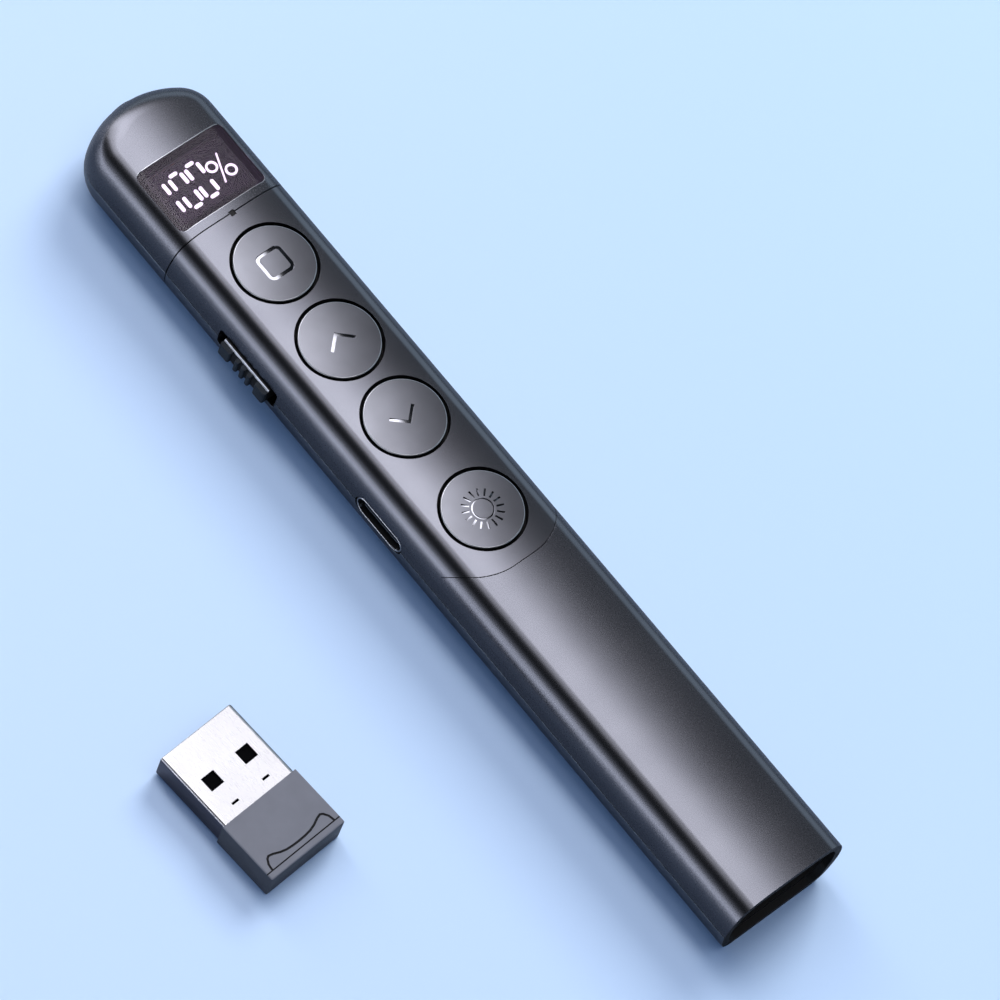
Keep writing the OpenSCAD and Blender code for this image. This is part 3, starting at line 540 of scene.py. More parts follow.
# The bright rim round the window, a painted highlight: how far it reaches out from the glass and in over
# it, and the least and most that its faces look up.
RIM_OUT = 0.25
RIM_IN = 0.05
RIM_FACES = (0.2, 0.97)
# Half the dark line between the shells, and the height above which the pocket shows the filter.
PARTING_HALF = 0.1
POCKET_Z = 9


def under_window(point):
    low, high = box_mm("display_window")
    return low.x < point.x < high.x and abs(point.y) < high.y


def on_window_rim(point, facing):
    low, high = box_mm("display_window")
    near = low.x - RIM_OUT < point.x < high.x + RIM_OUT and abs(point.y) < high.y + RIM_OUT
    inside = low.x + RIM_IN < point.x < high.x - RIM_IN and abs(point.y) < high.y - RIM_IN
    return near and not inside and RIM_FACES[0] < facing.z < RIM_FACES[1]


def coat_outside(obj, paint, bare):
    """Lacquer on the skin, bright metal on the rim round the window as a painted highlight, the filter
    with its painted purple glow under it, and bare plastic inside.

    The line where the upper and lower shells meet stays bare, and so shows dark."""
    obj.data.materials.clear()
    for material in (paint, bare, display_filter_painted_glow, turned_edge_and_highlight):
        obj.data.materials.append(material)
    for face in obj.data.polygons:
        mid = face.center * 1000
        if abs(skin_direction(mid)[1]) < PAINT_DEPTH:
            on_parting = abs(mid.z - PARTING_Z) < PARTING_HALF
            # painted highlight: faces on the window's rim take bright metal
            face.material_index = 1 if on_parting else 3 if on_window_rim(mid, face.normal) else 0
        else:
            # the pocket under the window takes the filter with its painted glow
            in_pocket = face.normal.z > 0.3 and mid.z > POCKET_Z and under_window(mid)
            face.material_index = 2 if in_pocket else 1


def dress(obj, material, body, slot, *replaced):
    """Gives a finished piece its material and body, and hides the CAD nodes that it stands for. Its slot
    is not used.
    """
    if material is not None:
        obj.data.materials.clear()
        obj.data.materials.append(material)
    if replaced:
        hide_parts(*replaced)
    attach(obj, body)
    return obj


def on_skin(first, second):
    """Whether an edge lies on the skin. The nose's join isn't an edge."""
    if on_nose_join(first) and on_nose_join(second):
        return False
    return all(abs(skin_direction(p)[1]) < EDGE_DEPTH for p in (first, second))


def casing_part(node, name, material, slot):
    """One shell of the casing: rims rounded, painted outside and shaded like one even skin."""
    part = merged_copy(node, name)
    soften_rims(part, CASING_RIM, on_skin)
    add_rows(part, BODY_H)
    coat_outside(part, material, black_moulding_and_painted_shade)
    smooth(part, skin_normal)
    dress(part, None, "clicker", slot, node)


casing_part("main_top_shell", "upper_casing", upper_lacquer, "upper_paint")
casing_part("head_top_cover", "upper_head", upper_lacquer, "upper_paint")
casing_part("main_bottom_shell", "lower_casing", lower_lacquer, "lower_paint")
casing_part("head_bottom_cover", "lower_head", lower_lacquer, "lower_paint")
casing_part("key_panel", "key_panel_inlay", panel_lacquer, "panel_paint")


# ---- meshes made here ----

LATHE_STEPS = 128


def lathe(name, profile, centre):
    """A turned solid: profile is (radius, height) in millimetres, from the axis round to the axis."""
    mesh = bpy.data.meshes.new(name)
    bm = bmesh.new()
    rings = []
    for r, z in profile:
        if r == 0:
            rings.append([bm.verts.new(at(centre[0], centre[1], z))])
        else:
            turns = [math.tau * i / LATHE_STEPS for i in range(LATHE_STEPS)]
            rings.append([bm.verts.new(at(
                centre[0] + r * math.cos(turn), centre[1] + r * math.sin(turn), z)) for turn in turns])
    for inner, outer in zip(rings, rings[1:]):
        for i in range(LATHE_STEPS):
            j = (i + 1) % LATHE_STEPS
            ring = [inner[i % len(inner)], outer[i % len(outer)], outer[j % len(outer)],
                    inner[j % len(inner)]]
            face = list(dict.fromkeys(ring))
            if len(face) > 2:
                bm.faces.new(face)
    bmesh.ops.recalc_face_normals(bm, faces=bm.faces)
    bm.to_mesh(mesh)
    bm.free()
    return add_object(name, mesh)


def solid_from(name, build):
    """An object from a function that fills a bmesh in millimetres."""
    bm = bmesh.new()
    build(bm)
    bmesh.ops.recalc_face_normals(bm, faces=bm.faces)
    bmesh.ops.scale(bm, vec=(mm(1),) * 3, verts=bm.verts)
    mesh = bpy.data.meshes.new(name)
    bm.to_mesh(mesh)
    bm.free()
    return add_object(name, mesh)


def cut(obj, tool, material=None):
    """Cuts the tool out of obj and removes the tool."""
    if material is not None:
        tool.data.materials.clear()
        tool.data.materials.append(material)
    modifier = obj.modifiers.new("cut", "BOOLEAN")
    modifier.operation = "DIFFERENCE"
    modifier.solver = "EXACT"
    modifier.material_mode = "TRANSFER"
    modifier.object = tool
    mesh = bpy.data.meshes.new_from_object(obj.evaluated_get(bpy.context.evaluated_depsgraph_get()))
    obj.modifiers.clear()
    obj.data = mesh
    bpy.data.objects.remove(tool)
    return obj


def ribbon(bm, points, half, low, top, closed=False):
    """A band of even width along points on a face, from the height low(x, y) up to top."""
    points = [Vector(p) for p in points]
    count = len(points)
    rows = []
    for i, point in enumerate(points):
        ways = []
        if i or closed:
            ways.append((point - points[i - 1]).normalized())
        if i < count - 1 or closed:
            ways.append((points[(i + 1) % count] - point).normalized())
        way = (ways[0] + ways[-1]).normalized()
        side = Vector((-way.y, way.x)) * half / max(0.5, way.dot(ways[0]))
        left, right = point + side, point - side
        rows.append([bm.verts.new((p.x, p.y, z)) for p, z in (
            (left, low(left.x, left.y)), (right, low(right.x, right.y)), (right, top), (left, top))])
    for i in range(count if closed else count - 1):
        row, following = rows[i], rows[(i + 1) % count]
        for j in range(4):
            k = (j + 1) % 4
            bm.faces.new((row[j], row[k], following[k], following[j]))
    if not closed:
        bm.faces.new(rows[0][::-1])
        bm.faces.new(rows[-1])


def even_steps(points, step):
    """The same path with a point at least every step along it."""
    out = []
    for a, b in zip(points, points[1:]):
        a, b = Vector(a), Vector(b)
        count = max(1, math.ceil((b - a).length / step))
        out += [a + (b - a) * i / count for i in range(count)]
    return out + [Vector(points[-1])]


def rounded_rectangle(low, high, r, steps):
    """Points round a rectangle between two corners, with an arc of so many steps at each corner."""
    points = []
    for quarter, (x, y) in enumerate((
            (high[0] - r, high[1] - r), (low[0] + r, high[1] - r),
            (low[0] + r, low[1] + r), (high[0] - r, low[1] + r))):
        for i in range(steps + 1):
            a = math.radians(90 * quarter + 90 * i / steps)
            points.append((x + r * math.cos(a), y + r * math.sin(a)))
    return points


def run_tree(name, sizes, build, material):
    """Runs a Geometry Nodes tree with named sizes, and returns its result as a plain mesh object."""
    tree = bpy.data.node_groups.new(name, "GeometryNodeTree")
    tree.interface.new_socket("Geometry", in_out="OUTPUT", socket_type="NodeSocketGeometry")
    keys = {}
    for label, value in sizes.items():
        kind = "NodeSocketInt" if isinstance(value, int) else "NodeSocketFloat"
        keys[label] = tree.interface.new_socket(label, in_out="INPUT", socket_type=kind).identifier
    sockets = add_node(tree, "NodeGroupInput").outputs
    real = add_node(tree, "GeometryNodeRealizeInstances", {"Geometry": build(tree, sockets)})
    coated = add_node(tree, "GeometryNodeSetMaterial", {
        "Geometry": real.outputs["Geometry"], "Material": material})
    add_node(tree, "NodeGroupOutput", {"Geometry": coated.outputs["Geometry"]})
    obj = add_object(name, bpy.data.meshes.new(name + "_base"))
    modifier = obj.modifiers.new("nodes", "NODES")
    modifier.node_group = tree
    for label, value in sizes.items():
        modifier[keys[label]] = value
    mesh = bpy.data.meshes.new_from_object(obj.evaluated_get(bpy.context.evaluated_depsgraph_get()))
    obj.modifiers.clear()
    obj.data = mesh
    return obj


# ---- keys ----

KEY_TOP = box_mm("screen_key")[1].z
KEY_LOW = box_mm("screen_key")[0].z
KEY_DOME = 0.1
KEY_RIM = KEY_R - KEY_CHAMFER
KEY_DOME_R = (KEY_RIM ** 2 + KEY_DOME ** 2) / (2 * KEY_DOME)
DOME_RINGS = (5.0, 4.4, 3.6, 2.6, 1.4)
KEY_STEM_R = 1.6
FLANGE_R = 6.35
FLANGE_TOP = 10.35
FLANGE_T = 0.8
# A key's face shades like a ball of this radius, about twice as round as its dome.
KEY_SHADE_R = 62.0
# The floor of a sign is part of a much smaller ball, so it turns from white to black across a key.
SIGN_BALL_R = 13.0
SIGN_SINK = 0.05
STROKE_STEP = 0.35


def dome_z(r):
    return KEY_TOP - r * r / (2 * KEY_DOME_R)


def key_body(name, node):
    """A round key with a very flat dome, a turned chamfer and the flange that holds it in."""
    centre = middle(node)
    rim_z = dome_z(KEY_RIM)
    flange_low = FLANGE_TOP - FLANGE_T
    # the chamfer's own two edges are eased by a few hundredths of a millimetre
    profile = [(0, KEY_LOW), (KEY_STEM_R, KEY_LOW), (KEY_STEM_R, flange_low), (FLANGE_R, flange_low),
               (FLANGE_R, FLANGE_TOP), (KEY_R, FLANGE_TOP), (KEY_R, rim_z - KEY_CHAMFER),
               (KEY_R - 0.02, rim_z - KEY_CHAMFER + 0.05), (KEY_RIM + 0.05, rim_z - 0.02),
               (KEY_RIM, rim_z)]
    profile += [(r, dome_z(r)) for r in DOME_RINGS] + [(0, KEY_TOP)]
    return lathe(name, profile, (centre.x, centre.y)), centre


def key_normals(key, centre):
    """Exact normals for a key's dome and for the floors of its signs."""
    signs = {tuple(round(v, 6) for v in f.center) for f in key.data.polygons if f.material_index == 1}

    def direction(point, facing, mid):
        flat = Vector((point.x - centre.x, point.y - centre.y, 0))
        if flat.length > KEY_RIM + 0.01 or facing.z < 0.95:
            return None
        turn = SIGN_BALL_R if tuple(round(v, 6) for v in mid) in signs else KEY_SHADE_R
        return (flat / turn + UP).normalized()
    return direction


def finish_key(key, centre, node):
    """The face's finish, the bright chamfer, the polished signs and the side in painted shade."""
    for face in key.data.polygons:
        mid = face.center * 1000
        r = math.hypot(mid.x - centre.x, mid.y - centre.y)
        if face.material_index != 1:
            # painted shade: everything below the chamfer is near black
            if mid.z < dome_z(KEY_RIM) - KEY_CHAMFER + 0.01:
                face.material_index = 3
            elif r > KEY_RIM:
                face.material_index = 2
    smooth(key, key_normals(key, centre))
    dress(key, None, node, "key_metal", node)


def engrave(key, tool):
    """Cuts a tool out of a key. What it leaves is polished."""
    key.data.materials.clear()
    for material in (blasted_key, polished_sign, turned_edge_and_highlight, gap_and_groove_shade):
        key.data.materials.append(material)
    cut(key, tool, polished_sign)


def sign_tool(centre, stroke, half, closed=False, lift=0.0):
    """A cutter along a stroke on a key's face. Its floor lies on the signs' ball, raised by lift."""
    def low(x, y):
        away = (x - centre.x) ** 2 + (y - centre.y) ** 2
        return KEY_TOP - SIGN_SINK - away / (2 * SIGN_BALL_R) + lift

    def build(bm):
        path = even_steps([(centre.x + x, centre.y + y) for x, y in stroke], STROKE_STEP)
        ribbon(bm, path[:-1] if closed else path, half, low, KEY_TOP + 0.3, closed)
    return solid_from("sign_tool", build)


def sun_rays(tree, sockets):
    """Tilted blocks laid out like the rays of a sun, which cut the rays into the signs' ball."""
    turn = add_node(tree, "ShaderNodeMath", {0: math.tau, 1: sockets["Rays"]}, operation="DIVIDE")
    line = add_node(tree, "GeometryNodeMeshLine", {
        "Count": sockets["Rays"], "Offset": (0.0, 0.0, 0.0)})
    index = add_node(tree, "GeometryNodeInputIndex")
    angle = add_node(tree, "ShaderNodeMath", {
        0: index.outputs[0], 1: turn.outputs[0]}, operation="MULTIPLY")
    heading = add_node(tree, "ShaderNodeCombineXYZ", {"Z": angle.outputs[0]})
    size = add_node(tree, "ShaderNodeCombineXYZ", {
        "X": sockets["Length"], "Y": sockets["Width"], "Z": sockets["Depth"]})
    block = add_node(tree, "GeometryNodeMeshCube", {"Size": size.outputs[0]})
    raised = add_node(tree, "ShaderNodeMath", {0: sockets["Depth"], 1: 0.5}, operation="MULTIPLY")
    lift = add_node(tree, "ShaderNodeCombineXYZ", {"Z": raised.outputs[0]})
    stood = add_node(tree, "GeometryNodeTransform", {
        "Geometry": block.outputs["Mesh"], "Translation": lift.outputs[0]})
    tilt = add_node(tree, "ShaderNodeCombineXYZ", {"Y": sockets["Tilt"]})
    out = add_node(tree, "ShaderNodeCombineXYZ", {"X": sockets["Reach"]})
    ray = add_node(tree, "GeometryNodeTransform", {
        "Geometry": stood.outputs["Geometry"], "Translation": out.outputs[0],
        "Rotation": tilt.outputs[0]})
    laid = add_node(tree, "GeometryNodeInstanceOnPoints", {
        "Points": line.outputs["Mesh"], "Instance": ray.outputs["Geometry"],
        "Rotation": heading.outputs[0]})
    place = add_node(tree, "ShaderNodeCombineXYZ", {
        "X": sockets["Across"], "Y": sockets["Along"], "Z": sockets["Height"]})
    return add_node(tree, "GeometryNodeTransform", {
        "Geometry": laid.outputs["Instances"], "Translation": place.outputs[0]}).outputs["Geometry"]


# Sizes of the signs: the square, the arrows from tip to foot and to each side, and the sun with the
# length, width and depth of its rays. Each line is given by half its width.
SQUARE_HALF = 1.8
SQUARE_CORNER_R = 0.7
SQUARE_LINE = 0.25
ARROW_REACH = 1.75
ARROW_HALF = 1.95
ARROW_TIP = 0.9
ARROW_LINE = 0.22
SUN_RING_R = 1.42
SUN_RING_STEPS = 48
SUN_RING_LINE = 0.1
SUN_RAYS = 16
SUN_RAY = (1.05, 0.27, 0.9)
SUN_RAY_AT = 2.3
# The square and the sun's rays are cut this much less deep than the other signs.
SIGN_LIFT = 0.08


def make_keys():
    """The four keys: rounded square, forward arrow, back arrow and sun."""
    key, centre = key_body("key_with_square", "screen_key")
    square = rounded_rectangle((-SQUARE_HALF,) * 2, (SQUARE_HALF,) * 2, SQUARE_CORNER_R, 6)
    engrave(key, sign_tool(centre, square + square[:1], SQUARE_LINE, closed=True, lift=SIGN_LIFT))
    finish_key(key, centre, "screen_key")

    for name, node, way in (("key_with_forward_arrow", "forward_key", 1),
                            ("key_with_back_arrow", "back_key", -1)):
        key, centre = key_body(name, node)
        tip, foot = way * ARROW_TIP, way * ARROW_TIP - way * ARROW_REACH
        arrow = [(foot, ARROW_HALF), (tip, 0.0), (foot, -ARROW_HALF)]
        engrave(key, sign_tool(centre, arrow, ARROW_LINE))
        finish_key(key, centre, node)

    key, centre = key_body("key_with_sun", "spotlight_key")
    turns = [math.tau * i / SUN_RING_STEPS for i in range(SUN_RING_STEPS + 1)]
    ring = [(SUN_RING_R * math.cos(turn), SUN_RING_R * math.sin(turn)) for turn in turns]
    engrave(key, sign_tool(centre, ring, SUN_RING_LINE, closed=True))
    length, width, depth = SUN_RAY
    height = KEY_TOP - SIGN_SINK - SUN_RAY_AT ** 2 / (2 * SIGN_BALL_R) + SIGN_LIFT
    rays = run_tree("ray_tool", {
        "Rays": SUN_RAYS, "Length": mm(length), "Width": mm(width), "Depth": mm(depth),
        "Tilt": math.asin(SUN_RAY_AT / SIGN_BALL_R), "Reach": mm(SUN_RAY_AT),
        "Across": mm(centre.x), "Along": mm(centre.y), "Height": mm(height)},
        sun_rays, polished_sign)
    cut(key, rays)
    finish_key(key, centre, "spotlight_key")


make_keys()


# ---- display ----

# Half the flat width of the pane, and how far its shading leans at its long edges.
PANE_FLAT_Y = 5.7
PANE_EDGE_TILT = math.radians(9)


def pane_normals(point, facing, _):
    """The pane is flat across its middle and rolls off to both long edges."""
    if facing.z < 0.8 or point.z < BODY_H - 2:
        return None
    roll = max(0.0, abs(point.y) - PANE_FLAT_Y) / (box_mm("display_window")[1].y - PANE_FLAT_Y)
    tilt = PANE_EDGE_TILT * math.copysign(math.sin(min(roll, 1.0) * math.pi / 2), point.y)
    return Vector((0, math.sin(tilt), math.cos(tilt)))


pane = merged_copy("display_window", "display_pane")
add_rows(pane, BODY_H - WINDOW_RECESS)
smooth(pane, pane_normals)
dress(pane, smoked_pane, "clicker", "window_glass", "display_window")


# ---- CAD pieces that keep their shape ----

KEPT = {
    "neck_ring": black_moulding_and_painted_shade, "display_module": display_filter_painted_glow,
    "display_segments": segment_light, "display_pins": tinned_pin,
    "status_light": smoked_light_pipe, "status_led": led_ceramic,
    "laser_bezel": black_moulding_and_painted_shade, "laser_lens": laser_glass, "laser_barrel": brass,
    "laser_leads": red_lead, "main_board": board_green, "tact_switches": screw_steel,
    "tact_plungers": chip_epoxy, "board_chips": chip_epoxy, "battery": battery_foil,
    "battery_pad": foam, "battery_leads": red_lead, "switch_slider": nylon,
    "switch_case": screw_steel, "bay_magnet": nickel, "screws": screw_steel,
    "receiver_tongue": matt_tongue, "receiver_contacts": gold,
    "receiver_board": board_green, "bay_liner": black_moulding_and_painted_shade,
}
for node, material in KEPT.items():
    nodes[node].data.materials.clear()
    nodes[node].data.materials.append(material)


def rounded_copy(node, name, material, slot, body, width_mm):
    """A CAD node's shape with its outer edges rounded."""
    part = merged_copy(node, name)
    soften_rims(part, width_mm, lambda a, b: True)
    smooth(part)
    return dress(part, material, body, slot, node)


# The blade's front edge shows as a line between these heights. It is drawn this much nearer the
# opening than the solid has it, so that it catches light.
BLADE_LINE_Z = (5.6, 5.9)
BLADE_FORWARD = 0.35
PORT_RIM = 0.14
BLADE_RIM = 0.2
# A face looks a way if its normal points at least this much there.
LOOKS = 0.9


def make_port():
    """The port: a bright drawn rim with the grey front edge of its blade. Its inward faces and the rest
    of the blade are black, as painted shade.
    """
    centre = middle("port_shell")
    rim = rounded_copy("port_shell", "port_rim", port_steel, "port_steel", "clicker", PORT_RIM)
    blade = rounded_copy(
        "port_tongue", "port_blade", blade_polymer, "black_plastic", "clicker", BLADE_RIM)
    blade_front = box_mm("port_tongue")[1].y
    bm = bmesh.new()
    bm.from_mesh(blade.data)
    for height in BLADE_LINE_Z:
        bmesh.ops.bisect_plane(bm, geom=bm.verts[:] + bm.edges[:] + bm.faces[:],
                               plane_co=at(0, 0, height), plane_no=(0, 0, 1))
    bm.to_mesh(blade.data)
    bm.free()
    for vert in blade.data.vertices:
        if vert.co.y > mm(blade_front - 0.3):
            vert.co.y += mm(BLADE_FORWARD)
    # painted shade: the rim's inward faces take black
    for piece in (rim, blade):
        piece.data.materials.append(black_moulding_and_painted_shade)
    for face in rim.data.polygons:
        away = face.center * 1000 - centre
        inwards = face.normal.x * away.x + face.normal.z * away.z
        if inwards < -LOOKS * math.hypot(away.x, away.z) or face.normal.z * away.z < -LOOKS:
            face.material_index = 1
    # painted shade: all of the blade but its front-edge line is black
    for face in blade.data.polygons:
        mid = face.center * 1000
        on_line = BLADE_LINE_Z[0] < mid.z < BLADE_LINE_Z[1] and face.normal.y > LOOKS
        if not on_line or mid.y < blade_front - 0.5:
            face.material_index = 1


make_port()


# ---- side switch ----

KNOB_LOW, KNOB_HIGH = box_mm("switch_knob")
KNOB_HALF_L = 4.5
KNOB_HALF_H = 1.4
KNOB_PLATE_T = 0.5
# Ribs lie between two broad end blocks, and behind them a bright line, a painted highlight, this far
# from the front.
KNOB_LINE_IN = 0.85
KNOB_RIB_COUNT = 3
KNOB_RIB_PITCH = 1.2
KNOB_RIB_W = 0.7
KNOB_RIB_D = 0.8
KNOB_RIB_R = 0.28
KNOB_END_L = 2.0


def knob_ribs(tree, sockets):
    """Upright rounded ribs in a row along the thumb piece."""
    line = add_node(tree, "GeometryNodeMeshLine", {
        "Count": sockets["Ribs"], "Start Location": (0.0, 0.0, 0.0)})
    step = add_node(tree, "ShaderNodeCombineXYZ", {"X": sockets["Pitch"]})
    tree.links.new(step.outputs[0], line.inputs["Offset"])
    low = add_node(tree, "ShaderNodeCombineXYZ", {"Z": sockets["Low"]})
    high = add_node(tree, "ShaderNodeCombineXYZ", {"Z": sockets["High"]})
    upright = add_node(tree, "GeometryNodeCurvePrimitiveLine", {
        "Start": low.outputs[0], "End": high.outputs[0]})
    outline = add_node(tree, "GeometryNodeCurvePrimitiveQuadrilateral", {
        "Width": sockets["Width"], "Height": sockets["Depth"]})
    rounded = add_node(tree, "GeometryNodeFilletCurve", {
        "Curve": outline.outputs["Curve"], "Radius": sockets["Round"], "Count": 5}, mode="POLY")
    rib = add_node(tree, "GeometryNodeCurveToMesh", {
        "Curve": upright.outputs["Curve"], "Profile Curve": rounded.outputs["Curve"],
        "Fill Caps": True})
    laid = add_node(tree, "GeometryNodeInstanceOnPoints", {
        "Points": line.outputs["Mesh"], "Instance": rib.outputs["Mesh"]})
    place = add_node(tree, "ShaderNodeCombineXYZ", {
        "X": sockets["Across"], "Y": sockets["Along"]})
    return add_node(tree, "GeometryNodeTransform", {
        "Geometry": laid.outputs["Instances"], "Translation": place.outputs[0]}).outputs["Geometry"]


def box_in(bm, low, high):
    """A box between two corners in millimetres."""
    made = bmesh.ops.create_cube(bm, size=1.0)["verts"]
    bmesh.ops.scale(bm, vec=[b - a for a, b in zip(low, high)], verts=made)
    bmesh.ops.translate(bm, vec=[(a + b) / 2 for a, b in zip(low, high)], verts=made)


def join_parts(name, parts):
    """One object of several, each with its own materials."""
    target = add_object(name, bpy.data.meshes.new(name))
    bm = bmesh.new()
    for part in parts:
        shift = len(target.data.materials)
        for material in part.data.materials:
            target.data.materials.append(material)
        first = len(bm.faces)
        bm.from_mesh(part.data)
        bm.faces.ensure_lookup_table()
        for face in bm.faces[first:]:
            face.material_index += shift
        bpy.data.objects.remove(part)
    bm.to_mesh(target.data)
    bm.free()
    return target


def make_knob():
    """The thumb piece: a curved black block with ribs, a bright metal line along its top as a painted
    highlight, and its slide plate. The block's black between the ribs is painted shade.
    """
    mid = (KNOB_LOW + KNOB_HIGH) / 2
    front, plate = KNOB_HIGH.y, KNOB_LOW.y + KNOB_PLATE_T
    low_z, high_z = mid.z - KNOB_HALF_H, mid.z + KNOB_HALF_H
    line_y = front - KNOB_LINE_IN

    def core(bm):
        box_in(bm, KNOB_LOW, (KNOB_HIGH.x, plate, KNOB_HIGH.z))
        # from the plate over the line and the ribs' bed round to the lower edge
        section = [(plate - 0.05, low_z), (plate - 0.05, high_z), (line_y, high_z),
                   (line_y + 0.18, high_z - 0.27), (front - 0.6, high_z - 0.6),
                   (front - 0.42, mid.z), (front - 0.5, low_z + 0.4), (front - 0.75, low_z)]
        ends = [[bm.verts.new((x, y, z)) for y, z in section]
                for x in (mid.x - KNOB_HALF_L + 0.05, mid.x + KNOB_HALF_L - 0.05)]
        for i in range(len(section)):
            j = (i + 1) % len(section)
            bm.faces.new((ends[0][i], ends[0][j], ends[1][j], ends[1][i]))
        for end in ends:
            bm.faces.new(end)
    body = solid_from("knob_core", core)
    for material in (black_moulding_and_painted_shade, turned_edge_and_highlight):
        body.data.materials.append(material)
    # painted highlight: a thin band along the top of the front takes bright metal; the rest of the block
    # stays black, painted shade between the ribs
    for face in body.data.polygons:
        if face.normal.y > 0.8 and face.center.z > mm(high_z - 0.15):
            face.material_index = 1
    parts = [body]
    for count, pitch, width in ((KNOB_RIB_COUNT, KNOB_RIB_PITCH, KNOB_RIB_W),
                                (2, 2 * KNOB_HALF_L - KNOB_END_L, KNOB_END_L)):
        parts.append(run_tree("knob_ribs", {
            "Ribs": count, "Pitch": mm(pitch), "Low": mm(low_z + 0.15), "High": mm(high_z - 0.3),
            "Width": mm(width), "Depth": mm(KNOB_RIB_D), "Round": mm(KNOB_RIB_R),
            "Across": mm(mid.x - pitch * (count - 1) / 2), "Along": mm(front - 0.41)},
            knob_ribs, knob_moulding))
    knob = join_parts("ribbed_thumb_piece", parts)
    smooth(knob)
    dress(knob, None, "power_switch", "knob_plastic", "switch_knob")


make_knob()


# ---- receiver ----

def in_receiver(obj):
    """Moves a mesh made at the origin to the receiver's place beside the clicker."""
    turn = Matrix.Rotation(math.radians(RECEIVER_YAW), 4, "Z")
    obj.data.transform(Matrix.Translation(at(*RECEIVER_PLACE)) @ turn)


def skin_rings(bm, rings):
    """Joins outlines, each at its own x, into one skin. The first and last stay open."""
    rows = [[bm.verts.new((x, y, z)) for y, z in ring] for x, ring in rings]
    for row, following in zip(rows, rows[1:]):
        for i in range(len(row)):
            j = (i + 1) % len(row)
            bm.faces.new((row[i], row[j], following[j], following[i]))
    return rows


PLUG_LOW = (CAP_H - PLUG_H) / 2
PLUG_ROUND = 0.5
PLUG_ROOT = 4.0
# The edge of the plug's mouth is rounded by so much outside and inside.
PLUG_LIP_OUT = 0.12
PLUG_LIP_IN = 0.06
# The two windows and the two latch slots of the plug, and how far each lies from its middle line.
PLUG_WINDOW = 2.1
PLUG_WINDOW_X = (PLUG_L - PLUG_WINDOW) / 2 - 0.4
PLUG_WINDOW_Y = 2.9
PLUG_SLOT_X = (1.4, 1.75)
PLUG_SLOT_HALF = 0.55
PLUG_SLOT_Y = 2.6


def make_plug():
    """A tube of thin sheet with rounded edges, two windows on each face and two latch slots."""
    def ring(inset, r):
        half = PLUG_W / 2 - inset
        return rounded_rectangle((-half, PLUG_LOW + inset), (half, PLUG_LOW + PLUG_H - inset), r, 5)

    def tube(bm):
        outer, lip, inner = ring(0, PLUG_ROUND), ring(0.1, PLUG_ROUND - 0.1), ring(PLUG_WALL, 0.2)
        inner_lip = ring(PLUG_WALL - PLUG_LIP_IN, 0.24)
        rows = skin_rings(bm, [(-PLUG_ROOT, outer), (PLUG_L - PLUG_LIP_OUT, outer), (PLUG_L, lip),
                               (PLUG_L, inner_lip), (PLUG_L - PLUG_LIP_IN, inner),
                               (-PLUG_ROOT, inner)])
        first, last = rows[0], rows[-1]
        for i in range(len(first)):
            j = (i + 1) % len(first)
            bm.faces.new((last[i], last[j], first[j], first[i]))

    def holes(bm):
        for side in (-1, 1):
            y0 = side * PLUG_WINDOW_Y - PLUG_WINDOW / 2
            box_in(bm, (PLUG_WINDOW_X, y0, -1),
                   (PLUG_WINDOW_X + PLUG_WINDOW, y0 + PLUG_WINDOW, CAP_H + 1))
            middle_y = side * PLUG_SLOT_Y
            box_in(bm, (PLUG_SLOT_X[0], middle_y - PLUG_SLOT_HALF, PLUG_LOW + PLUG_H - 1),
                   (PLUG_SLOT_X[1], middle_y + PLUG_SLOT_HALF, CAP_H + 1))
    plug = cut(solid_from("sheet_metal_plug", tube), solid_from("plug_holes", holes))
    plug.data.materials.clear()
    plug.data.materials.append(plated_steel)
    plug.data.materials.append(plug_side_steel_painted_shade)
    # painted shade: every face but the flat top takes the darker steel
    for face in plug.data.polygons:
        on_top = face.center.z > mm(PLUG_LOW + PLUG_H - 0.2)
        face.material_index = 0 if face.normal.z > 0.35 and on_top else 1
    in_receiver(plug)
    smooth(plug, flat_normals)
    dress(plug, None, "receiver", "plug_steel", "receiver_plug")


def flat_normals(point, facing, _):
    """The true normal of a flat side, so that a rounded edge doesn't bend its shading."""
    return facing.copy() if max(abs(v) for v in facing) > 0.998 else None


CAP_RIM = 0.22
# The cap's engraving: where its straight line lies, and each line's half width and depth.
CAP_LINE_X = -CAP_L + 0.95
CAP_LINE = (0.09, 0.12)
CAP_BOW = (0.15, 0.13)


def bow_line():
    """The engraved outline on the cap: two humps joined by a hollow, ending on the straight line."""
    half = [(CAP_LINE_X, -5.3), (CAP_LINE_X + 0.9, -5.15), (CAP_LINE_X + 1.55, -4.75),
            (CAP_LINE_X + 1.75, -4.4), (CAP_LINE_X + 1.6, -3.8), (CAP_LINE_X + 1.2, -2.9),
            (CAP_LINE_X + 0.95, -2.0), (CAP_LINE_X + 0.85, -1.0), (CAP_LINE_X + 0.82, 0.0)]
    return half + [(x, -y) for x, y in half[-2::-1]]


